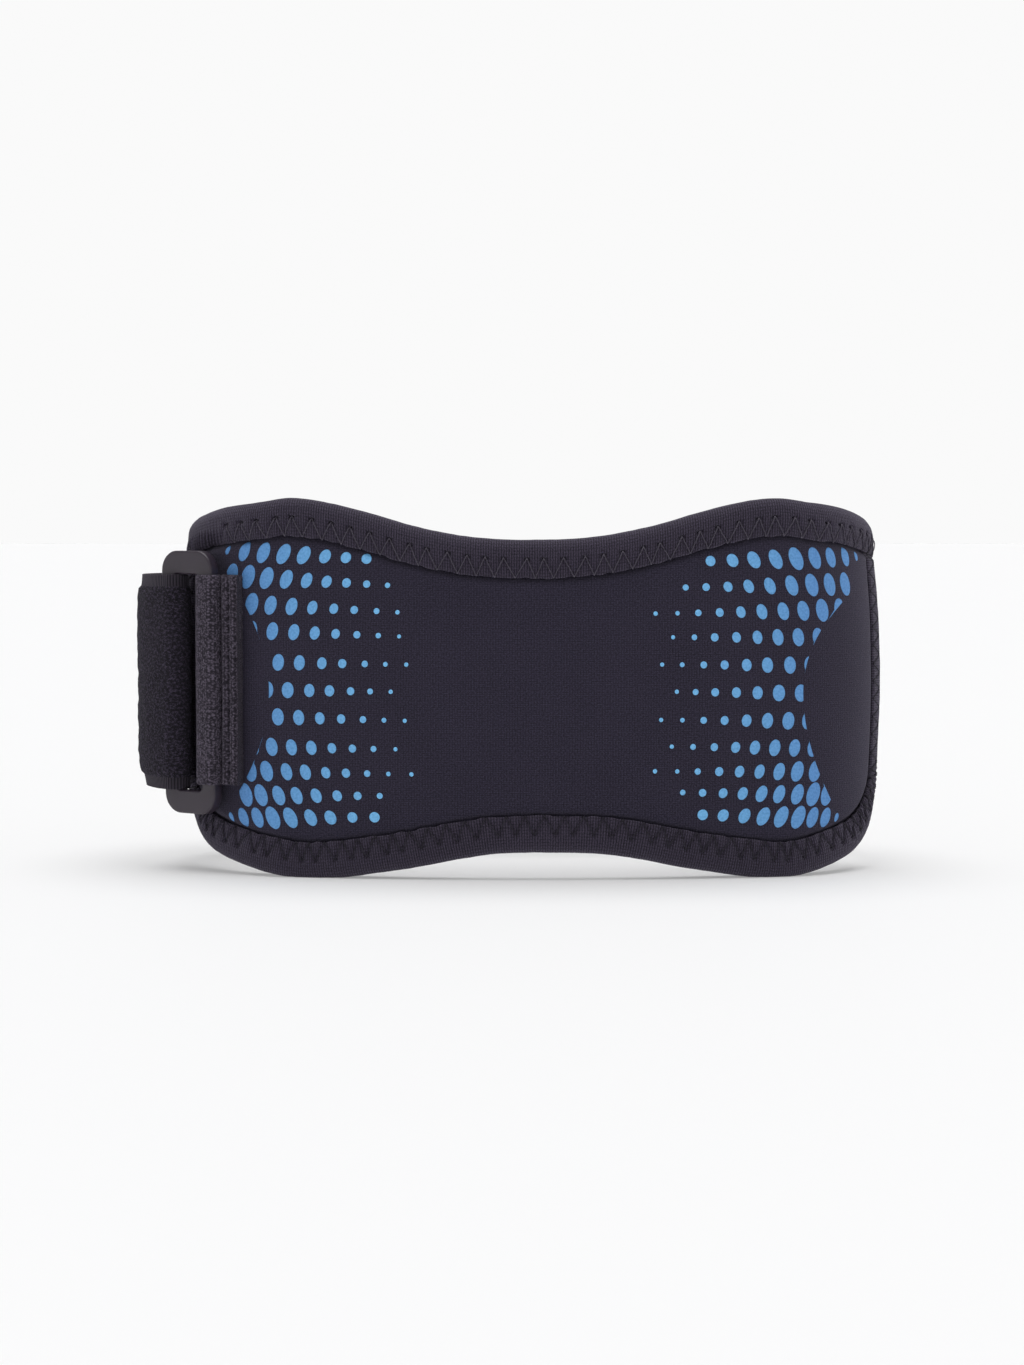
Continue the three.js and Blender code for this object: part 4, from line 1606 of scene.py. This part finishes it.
class Route:
    """A route seen from above, laid down bend by bend; loop says how far round the knee each point lies."""

    def __init__(self, at: Array, heading: float, loop: float = 0.0, step: float = 0.7) -> None:
        """Start a route.

        Args:
            at: First point, x and y.
            heading: Direction there.
            loop: How far round the knee it lies.
            step: Largest spacing of the points.
        """
        self.rows = [(float(at[0]), float(at[1]), heading, loop)]
        self.step = step

    def forward(self, length: float) -> "Route":
        """Go straight on.

        Args:
            length: How far.

        Returns:
            The route itself.
        """
        x, y, heading, loop = self.rows[-1]
        along, aside = math.cos(heading), math.sin(heading)
        for far in np.linspace(0, length, max(2, math.ceil(length / self.step) + 1))[1:]:
            self.rows.append((x + far * along, y + far * aside, heading, loop))
        return self

    def bend(self, radius: float, angle: float, loop_run: float = 0.0, least: int = 6) -> "Route":
        """Turn; positive angles turn left.

        Args:
            radius: The bend's radius.
            angle: How far it turns.
            loop_run: How far round the knee the bend goes.
            least: The fewest steps.

        Returns:
            The route itself.
        """
        x, y, heading, loop = self.rows[-1]
        arm = math.copysign(1, angle) * radius
        middle_x, middle_y = x - arm * math.sin(heading), y + arm * math.cos(heading)
        count = max(least, math.ceil(abs(radius * angle) / self.step))
        for t in np.linspace(0, 1, count + 1)[1:]:
            turned = heading + angle * t
            there = (middle_x + arm * math.sin(turned), middle_y - arm * math.cos(turned))
            self.rows.append((*there, turned, loop + loop_run * t))
        return self

    def array(self) -> Array:
        """The route's points, as x, y, heading and loop."""
        return np.array(self.rows)


def band_rings(route: Array, through: Array, height: Array, middle: Array, shift: Array) -> Array:
    """Rings of a band that stands on edge along a route.

    Args:
        route: Points as x, y, heading and loop.
        through: Stations by ring points, offset to the left of the route.
        height: The same form, height over the band's middle.
        middle: Height of the middle at each station.
        shift: From the plan's own axes to the frame's.

    Returns:
        Places in the frame.
    """
    heading = route[:, 2:3]
    x = route[:, 0:1] - np.sin(heading) * through + shift[0]
    y = route[:, 1:2] + np.cos(heading) * through + shift[1]
    return np.stack([x, y, middle[:, None] + height], axis=-1)


@dataclass(frozen=True)
class Ring:
    """The moulded ring: a rounded rectangle with one tall slot."""

    place: RingPlace
    height: float = 61.0
    width: float = 15.6
    thickness: float = 2.8
    end_bar: float = 5.42
    side_bar: float = 3.8
    corner_radius: float = 4.6
    slot_radius: float = 1.3
    edge_round: float = 0.5
    lean: float = 0.014
    corner_points: int = 14
    side_points: int = 30
    edge_points: int = 7

    def _outline(self, width: float, height: float, radius: float) -> Array:
        """A rounded rectangle, with points at the same shares of its sides whatever its size.

        Args:
            width: Its width.
            height: Its height.
            radius: Its corners' radius.

        Returns:
            Points, x and z, counterclockwise.
        """
        points = []
        centres = [(1, -1, -90), (1, 1, 0), (-1, 1, 90), (-1, -1, 180)]
        for sx, sz, start in centres:
            turn = np.radians(start + np.linspace(0, 90, self.corner_points))
            x, z = sx * (width / 2 - radius), sz * (height / 2 - radius)
            points.append(np.stack([x + radius * np.cos(turn), z + radius * np.sin(turn)], axis=-1))
        joined = []
        for corner, after in zip(points, points[1:] + points[:1]):
            t = np.linspace(0, 1, self.side_points)[1:-1, None]
            joined += [corner, corner[-1] + (after[0] - corner[-1]) * t]
        return np.concatenate(joined)

    def build(self) -> None:
        """Build the ring and put it in the frame."""
        outer = self._outline(self.width, self.height, self.corner_radius)
        slot = self._outline(self.width - 2 * self.side_bar, self.height - 2 * self.end_bar, self.slot_radius)
        gap = np.linalg.norm(outer - slot, axis=1)[:, None]
        half = self.thickness / 2
        arc = np.radians(np.linspace(0, 90, self.edge_points))
        near = self.edge_round * (1 - np.cos(arc))[None] / gap
        share = np.concatenate([near, 1 - near[:, ::-1], 1 - near, near[:, ::-1]], axis=1)
        rounded = half - self.edge_round * (1 - np.sin(arc))
        level = np.concatenate([rounded, rounded[::-1], -rounded, -rounded[::-1]])
        flat = outer[:, None] + (slot - outer)[:, None] * share[..., None]
        rings = self._stand(flat, np.broadcast_to(level[None], share.shape))
        shell = Shell()
        shell.loop(rings, rings)
        ring = shell.piece("moulded_ring", [RING_PLASTIC.make()])
        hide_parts("ring")
        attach(ring, "root")

    def _stand(self, flat: Array, level: Array) -> Array:
        """Stand the flat ring up in its place.

        Args:
            flat: Points along the ring and up, in the last axis.
            level: Distance in front of the ring's middle.

        Returns:
            Places in the frame.
        """
        middle = (self.place.left_bar + self.place.right_bar) / 2 + self.place.form.shift
        across = flat[..., :1] - self.lean * flat[..., 1:]
        plan = middle + across * self.place.along + level[..., None] * self.place.out
        return np.concatenate([plan, self.place.middle_height + flat[..., 1:]], axis=-1)


@dataclass(frozen=True)
class Fold:
    """A groove or ridge across the tab: how far past the seam it is, its share of the depth, its width."""

    past: float
    share: float
    width: float

    def across(self, past: Array) -> Array:
        """Its share of the depth at distances past the seam."""
        return self.share * bump(past, self.past, self.width)


TAB_GROOVES = (Fold(-0.3, 1.0, 0.4), Fold(2.4, 0.8, 0.4), Fold(4.3, 0.6, 0.25))
TAB_RIDGES = (Fold(1.25, 1.0, 1.0), Fold(3.35, 0.75, 0.9))


@dataclass(frozen=True)
class RingTab:
    """The webbing tab: along the panel, round the ring's right bar and back over itself."""

    place: RingPlace
    width: float = 48.4
    middle_height: float = 45.2
    thickness: float = 1.3
    front_end: float = 67.0
    back_end: float = 67.5
    wrap: float = 2.3
    wrap_middle: float = 0.8
    shoulder_at: float = 1.25
    shoulder_radius: float = 1.0
    foot_radius: float = 0.7
    foot_turn: float = math.radians(86)
    upper_rise: float = 2.45
    bend_step: float = 0.22
    lower_points: int = 16
    upper_points: int = 30
    height_points: int = 110
    edge_width: float = 0.25
    edge_thickness: float = 0.35
    groove_depth: float = 0.95
    ridge_height: float = 0.7
    stitch_pitch: float = 2.4
    stitch_depth: float = 0.25
    loops: Grain = Grain(0.1, 0.5, 31)
    waves: Grain = Grain(0.08, 6.0, 32)
    outer_offset: float = 50.0

    def route(self) -> tuple[Array, float]:
        """The tab's middle surface.

        Returns:
            The route from the lower layer's end to the upper layer's end, and the run at the upper seam.
        """
        place, form = self.place, self.place.form
        drop = place.back_rise + 2 * self.wrap - self.upper_rise
        bends = self.shoulder_radius + self.foot_radius
        wall = (drop - bends * (1 - math.cos(self.foot_turn))) / math.sin(self.foot_turn)
        advance = bends * math.sin(self.foot_turn) + wall * math.cos(self.foot_turn)
        seam = place.tab_seam + place.seam_to_bar - self.shoulder_at - advance
        lower_s = np.linspace(self.back_end, place.tab_seam, self.lower_points)
        upper_s = np.linspace(seam, self.front_end, self.upper_points)
        lower = form.beside_route(-lower_s, place.back_rise)
        lower[:, 2] = math.pi - lower[:, 2]
        upper = form.beside_route(-upper_s, self.upper_rise)
        upper[:, 2] = FULL_TURN - upper[:, 2]
        round_bar = Route(lower[-1, :2], lower[-1, 2], step=self.bend_step)
        round_bar.forward(place.seam_to_bar + self.wrap_middle).bend(self.wrap, math.pi)
        round_bar.forward(self.wrap_middle + self.shoulder_at).bend(self.shoulder_radius, self.foot_turn)
        round_bar.forward(wall).bend(self.foot_radius, -self.foot_turn)
        bent = round_bar.array()
        whole = np.concatenate([lower, bent[1:-1], upper])
        return whole, float(run_along(whole)[len(lower) + len(bent) - 2])

    def build(self) -> None:
        """Build the tab and its stitches and put them in the frame."""
        route, seam_run = self.route()
        run = run_along(route)
        past = run - seam_run
        half_width, half = self.width / 2, self.thickness / 2
        body = half_width - self.edge_width
        edge = np.concatenate([[-half_width], np.linspace(-body, body, self.height_points), [half_width]])
        outer_side = -np.ones_like(edge) * half
        outer_side[[0, -1]] = -half * self.edge_thickness
        through = np.concatenate([outer_side, -outer_side[::-1]])
        tall = np.concatenate([edge, edge[::-1]])
        is_outer = np.concatenate([np.ones_like(edge), np.zeros_like(edge)])
        groove = self.groove_depth * sum(fold.across(past) for fold in TAB_GROOVES)
        ridge = self.ridge_height * sum(fold.across(past) for fold in TAB_RIDGES)
        stitches = 1 - self.stitch_depth * (1 - np.cos(FULL_TURN * tall / self.stitch_pitch))
        lift = ridge[:, None] - groove[:, None] * stitches[None]
        lift = lift + self.loops.at(run[:, None], tall[None]) + self.waves.at(run[:, None], tall[None])
        lift = lift * is_outer[None]
        rings = band_rings(
            route,
            through[None] - lift,
            np.broadcast_to(tall[None], lift.shape),
            np.full(len(run), self.middle_height),
            self.place.form.shift,
        )
        shell = Shell()
        shell.sweep(rings, on_cloth(run[:, None], tall[None], self.outer_offset * is_outer[None]))
        tab = shell.piece("webbing_tab", [WEBBING.make()])
        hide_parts("ring_tab")
        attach(tab, "root")


@dataclass(frozen=True)
class PlushBand:
    """The strap that closes the loop: plush on both faces, with thin ribbed selvedges."""

    place: RingPlace
    width: float = 50.0
    thickness: float = 2.2
    selvedge_width: float = 2.8
    selvedge_thickness: float = 1.0
    lap: float = 18.0
    left_loop_radius: float = 33.0
    back_bow: float = math.radians(10)
    tail_on_back: float = 24.0
    level_at_ring: float = 16.0
    level_left: float = 90.0
    level_right: float = 80.0
    hook_thickness: float = 1.2
    binding_back: float = 6.1
    corner_lean: float = 1.45
    lean_height: float = 10.0
    upper_lean: float = 0.7
    corner_power: float = 1.5
    upper_lean_height: float = 7.0
    lean_from: tuple[float, float] = (9.0, 1.0)
    lean_below: float = 2.0
    pile: Grain = Grain(0.16, 1.5, 41)
    pile_offset: float = 0.4
    waves: Grain = Grain(0.12, 9.0, 42)
    face_offset: float = 90.0
    face_weave: float = 60.0
    height_points: int = 72
    edge_points: int = 7
    edge_gap: float = 0.25
    edge_inset: float = 0.1
    edge_thin: float = 0.4
    body_rise: tuple[float, float] = (-0.05, 0.7)
    lap_points: int = 26
    bar_steps: int = 24
    stitch_length: float = 2.3
    stitch_gap: float = 0.8
    box_from_end: float = 4.5
    box_length: float = 33.0
    box_half: float = 20.5
    stitch_points: int = 7
    stitch_sunk: float = 0.12
    stitch_arch: float = 0.22
    stitch_fullness: float = 0.6
    thread_radius: float = 0.17

    @property
    def run_spacing(self) -> float:
        """From the inner run's middle to the turned-back run's."""
        return self.thickness + self.hook_thickness + 2 * self.place.clearance

    def route(self) -> tuple[Array, float]:
        """The strap's middle surface.

        Returns:
            The route from the lap on the panel to the turned-back end, and the loop's length round the knee.
        """
        place, form = self.place, self.place.form
        lap_rise = -(self.binding_back + place.clearance + self.thickness / 2)
        half_turn = math.pi / 2 - place.tilt
        wrap = place.ring_thickness / 2 + place.clearance + self.thickness / 2
        start = form.beside(np.array(form.right_length), np.array(lap_rise))
        inner_at_bar = place.left_bar - wrap * place.out
        outer_at_bar = place.left_bar + wrap * place.out
        inner_reach = self.run_spacing - form.strap_reach
        turn = 1 - math.cos(half_turn)
        into_slot = (inner_at_bar[0] - inner_reach) / turn
        from_bar = (outer_at_bar[0] + form.strap_reach) / turn
        turn_in = inner_at_bar[1] + into_slot * math.sin(half_turn)
        outer_turn_in = outer_at_bar[1] + from_bar * math.sin(half_turn)
        right_angle = math.pi - self.back_bow - form.end_heading
        left_angle = math.pi / 2 - self.back_bow
        drop_left = self.left_loop_radius * math.cos(self.back_bow)
        turns = math.cos(form.end_heading) + math.cos(self.back_bow)
        right_radius = (turn_in + drop_left - start[1]) / turns
        right_shift = right_radius * (math.sin(form.end_heading) - math.sin(self.back_bow))
        left_shift = self.left_loop_radius * (1 - math.sin(self.back_bow))
        back_radius = (start[0] - inner_reach - right_shift - left_shift) / (2 * math.sin(self.back_bow))
        right_run, back_run = right_radius * right_angle, back_radius * 2 * self.back_bow
        left_run = self.left_loop_radius * left_angle
        lap = form.beside_route(form.right_length - np.linspace(self.lap, 0, self.lap_points), lap_rise)
        rest = Route(start, form.end_heading)
        rest.bend(right_radius, right_angle, right_run).bend(back_radius, 2 * self.back_bow, back_run)
        rest.bend(self.left_loop_radius, left_angle, left_run).bend(into_slot, half_turn)
        rest.forward(place.bar_straight).bend(wrap, -math.pi, least=self.bar_steps)
        rest.forward(place.bar_straight)
        rest.bend(from_bar, -half_turn).forward(turn_in - outer_turn_in)
        rest.bend(self.left_loop_radius + self.run_spacing, -left_angle, -left_run)
        rest.bend(back_radius + self.run_spacing, -self.tail_on_back / back_radius, -self.tail_on_back)
        return np.concatenate([lap, rest.array()[1:]]), right_run + back_run + left_run

    def middle(self, loop: Array, loop_run: float) -> Array:
        """Height of the strap's middle: level at the ring and the panel, on the ground at the back.

        Args:
            loop: How far round the knee each point lies.
            loop_run: The loop's whole length.

        Returns:
            The heights.
        """
        drop = self.place.middle_height - self.width / 2
        from_right = ease(loop, 0, self.level_right)
        from_left = ease(loop_run - loop, self.level_at_ring, self.level_left)
        return self.place.middle_height - drop * np.minimum(from_right, from_left)

    def section(self) -> tuple[Array, Array]:
        """One ring of the strap.

        Returns:
            Offset to the left of the route, and height over the middle.
        """
        half = self.width / 2
        shoulder = half - self.selvedge_width
        body = np.linspace(-shoulder, shoulder, self.height_points)
        thin = np.linspace(shoulder + self.edge_gap, half - self.edge_inset, self.edge_points)
        heights = np.concatenate([[-half], -thin[::-1], body, thin, [half]])
        rise = np.sqrt(ease(shoulder - np.abs(heights), *self.body_rise))
        thick = (self.selvedge_thickness + (self.thickness - self.selvedge_thickness) * rise) / 2
        thick[[0, -1]] *= self.edge_thin
        return np.concatenate([thick, -thick[::-1]]), np.concatenate([heights, heights[::-1]])

    def build(self) -> None:
        """Build the strap and put it in the frame."""
        route, loop_run = self.route()
        run = run_along(route)
        through, tall = self.section()
        side = np.sign(through)
        is_body = np.abs(tall) < self.width / 2 - self.selvedge_width
        pile = self.pile.at(run[:, None], tall[None] + self.face_offset * side)
        lift = (pile - self.pile_offset * self.pile.height) * is_body[None] * side[None]
        lift = lift + self.waves.at(run[:, None], tall[None])
        middle = self.middle(route[:, 3], loop_run)
        height = np.broadcast_to(tall[None], lift.shape)
        rings = self._lean(band_rings(route, through[None] + lift, height, middle, self.place.form.shift))
        slots = np.where(np.abs(tall + np.roll(tall, -1)) / 2 < self.width / 2 - self.selvedge_width, 0, 1)
        shell = Shell()
        shell.sweep(rings, on_cloth(run[:, None], tall[None], self.face_weave * side[None]), slots)
        band = shell.piece("plush_band", [PLUSH.make(), SELVEDGE.make()])
        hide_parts("strap")
        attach(band, "root")
        self.sew(route, run, middle)

    def _stitch_box(self) -> Array:
        """The stitches that hold the hooks to the turned-back end.

        Returns:
            Stitches by points by 2: distance from the strap's end, and height over its middle.
        """
        near, far, half = self.box_from_end, self.box_from_end + self.box_length, self.box_half
        corners = np.array([[near, -half], [near, half], [far, half], [far, -half], [near, -half]])
        along = self.stitch_length * np.linspace(0, 1, self.stitch_points)[:, None]
        step = self.stitch_length + self.stitch_gap
        stitches = []
        for start, end in zip(corners[:-1], corners[1:]):
            side = float(np.linalg.norm(end - start))
            for at in np.arange(self.stitch_gap / 2, side - self.stitch_length, step):
                stitches.append(start + (end - start) / side * (at + along))
        return np.array(stitches)

    def sew(self, route: Array, run: Array, middle: Array) -> None:
        """Sew the hooks to the turned-back end.

        Args:
            route: The strap's middle surface.
            run: The run along it.
            middle: Height of the strap's middle along it.
        """
        box = self._stitch_box()
        at = run[-1] - box[..., 0].ravel()
        there = np.column_stack([np.interp(at, run, route[:, n]) for n in range(route.shape[1])])
        arch = np.sin(math.pi * np.linspace(0, 1, self.stitch_points)) ** self.stitch_fullness
        through = self.thickness / 2 - self.stitch_sunk + self.stitch_arch * np.tile(arch, len(box))
        height = box[..., 1].ravel()
        middles = np.interp(at, run, middle)
        paths = band_rings(there, through[:, None], height[:, None], middles, self.place.form.shift)
        outward = np.stack([-np.sin(there[:, 2]), np.cos(there[:, 2]), np.zeros(len(there))], axis=-1)
        form = (len(box), self.stitch_points, 3)
        sewing = Shell()
        sewing.tubes(paths.reshape(form), outward.reshape(form), self.thread_radius)
        thread = sewing.piece("band_stitches", [THREAD.make()])
        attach(thread, "root")

    def _lean(self, rings: Array) -> Array:
        """Let the left loop's lower and upper corners lean inwards.

        Args:
            rings: Places in the frame.

        Returns:
            The leaning places.
        """
        half = self.width / 2
        leftmost = -self.place.form.strap_reach + self.place.form.shift[0]
        near_left = ease(rings[..., 0] - leftmost, *self.lean_from)
        up = rings[..., 2] - self.place.middle_height
        low = ease(-up, half - self.lean_height, half + self.lean_below) ** self.corner_power
        high = ease(up, half - self.upper_lean_height, half)
        leaning = rings.copy()
        leaning[..., 0] += near_left * (self.corner_lean * low + self.upper_lean * high)
        return leaning


@dataclass(frozen=True)
class Studio:
    """Camera, pale floor that runs on to the horizon, and soft light all round."""

    focal_length: float = 72.0
    sensor_width: float = 36.0
    nearest: float = 0.01
    farthest: float = 50.0
    camera_place: tuple[float, float, float] = (0.00065, -0.6546, 0.0775)
    camera_pitch: float = math.radians(3)
    floor_colour: Colour = (0.635, 0.635, 0.64)
    floor_glow: float = 0.25
    horizon_light: float = 0.955
    upper_light: float = 0.26
    overhead_light: float = 2.5
    overhead_spread: float = math.radians(56)
    overhead_tilt: float = math.radians(-3)
    side_power: float = 0.3
    side_size: float = 0.6
    side_place: tuple[float, float, float] = (1.1, -0.5, 0.5)
    side_target: tuple[float, float, float] = (0.0, 0.0, 0.04)
    sky_from: float = 0.2
    sky_to: float = 0.42
    floor_near: float = -6.0
    floor_far: float = 90.0
    floor_aside: float = 60.0
    floor_clouds: float = 0.6
    floor_paler: float = 1.01
    floor_roughness: float = 0.75
    floor_shine: float = 0.2

    def camera(self) -> None:
        """Set up the camera where the photograph was taken from."""
        data = bpy.data.cameras.new("camera")
        data.lens = self.focal_length
        data.sensor_width = self.sensor_width
        data.clip_start = self.nearest
        data.clip_end = self.farthest
        seen = bpy.data.objects.new("camera", data)
        seen.location = self.camera_place
        seen.rotation_euler = (math.pi / 2 - self.camera_pitch, 0.0, 0.0)
        into_scene(seen)
        bpy.context.scene.camera = seen

    def floor(self) -> None:
        """Build the floor, which runs on to the horizon."""
        mesh = bpy.data.meshes.new("floor")
        near, far, aside = self.floor_near, self.floor_far, self.floor_aside
        corners = [(-aside, near, 0), (aside, near, 0), (aside, far, 0), (-aside, far, 0)]
        mesh.from_pydata(corners, [], [(0, 1, 2, 3)])
        nodes = Nodes("pale_floor")
        clouds = nodes.noise(nodes.add("TexCoord").outputs["Object"], self.floor_clouds)
        paler = tuple(channel * self.floor_paler for channel in self.floor_colour)
        nodes.feed(nodes.shader.inputs["Base Color"], nodes.mix(clouds, self.floor_colour, paler))
        nodes.shader.inputs["Roughness"].default_value = self.floor_roughness
        nodes.shader.inputs["Specular IOR Level"].default_value = self.floor_shine
        nodes.shader.inputs["Emission Color"].default_value = (1.0, 1.0, 1.0, 1.0)
        nodes.shader.inputs["Emission Strength"].default_value = self.floor_glow
        mesh.materials.append(nodes.material)
        floor = bpy.data.objects.new("floor", mesh)
        into_scene(floor)

    def side_light(self) -> None:
        """Hang a weak square light at the right, facing the strap."""
        data = bpy.data.lights.new("side", "AREA")
        data.shape = "SQUARE"
        data.size = self.side_size
        data.energy = self.side_power
        lamp = bpy.data.objects.new("side", data)
        lamp.location = self.side_place
        x, y, z = np.array(self.side_target) - np.array(self.side_place)
        lamp.rotation_euler = (math.atan2(math.hypot(x, y), -z), 0.0, math.atan2(y, x) - math.pi / 2)
        into_scene(lamp)

    def overhead(self) -> None:
        """Hang a broad light overhead."""
        data = bpy.data.lights.new("overhead", "SUN")
        data.energy = self.overhead_light
        data.angle = self.overhead_spread
        lamp = bpy.data.objects.new("overhead", data)
        lamp.rotation_euler = (self.overhead_tilt, 0.0, 0.0)
        into_scene(lamp)

    def sky(self) -> None:
        """Light the room all round, brightest at the horizon."""
        world = bpy.data.worlds.new("studio")
        world.use_nodes = True
        tree = world.node_tree
        seen = tree.nodes.new("ShaderNodeTexCoord")
        parts = tree.nodes.new("ShaderNodeSeparateXYZ")
        tree.links.new(seen.outputs["Generated"], parts.inputs[0])
        rise = tree.nodes.new("ShaderNodeMapRange")
        tree.links.new(parts.outputs[2], rise.inputs["Value"])
        rise.inputs["From Min"].default_value = self.sky_from
        rise.inputs["From Max"].default_value = self.sky_to
        rise.inputs["To Min"].default_value = self.horizon_light
        rise.inputs["To Max"].default_value = self.upper_light
        tree.links.new(rise.outputs["Result"], tree.nodes["Background"].inputs["Strength"])
        tree.nodes["Background"].inputs["Color"].default_value = (1.0, 1.0, 1.0, 1.0)
        bpy.context.scene.world = world
        bpy.context.scene.view_settings.view_transform = "Standard"


def main() -> None:
    """Build everything in order."""
    logging.basicConfig(level=logging.INFO, format="%(name)s %(message)s")
    studio = Studio()
    studio.camera()
    form = PanelForm()
    pad = Pad(form)
    place = RingPlace(form)
    pad.build()
    Halftone(pad).build()
    Binding(form, zigzag=Zigzag(hidden_until=24.0), bunched_until=20.0).build()
    lower = Zigzag(pitch=4.2, reach=4.3, seed=5, hole_depth=0.6, groove_depth=0.28)
    Binding(form, name="bottom_tape", node="bottom_binding", zigzag=lower, is_top=False).build()
    Ring(place).build()
    RingTab(place).build()
    PlushBand(place).build()
    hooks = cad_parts["hook_patch"]
    hooks.data.materials.clear()
    hooks.data.materials.append(HOOK_PLASTIC.make())
    studio.floor()
    studio.sky()
    studio.overhead()
    studio.side_light()


if __name__ == "__main__":
    main()
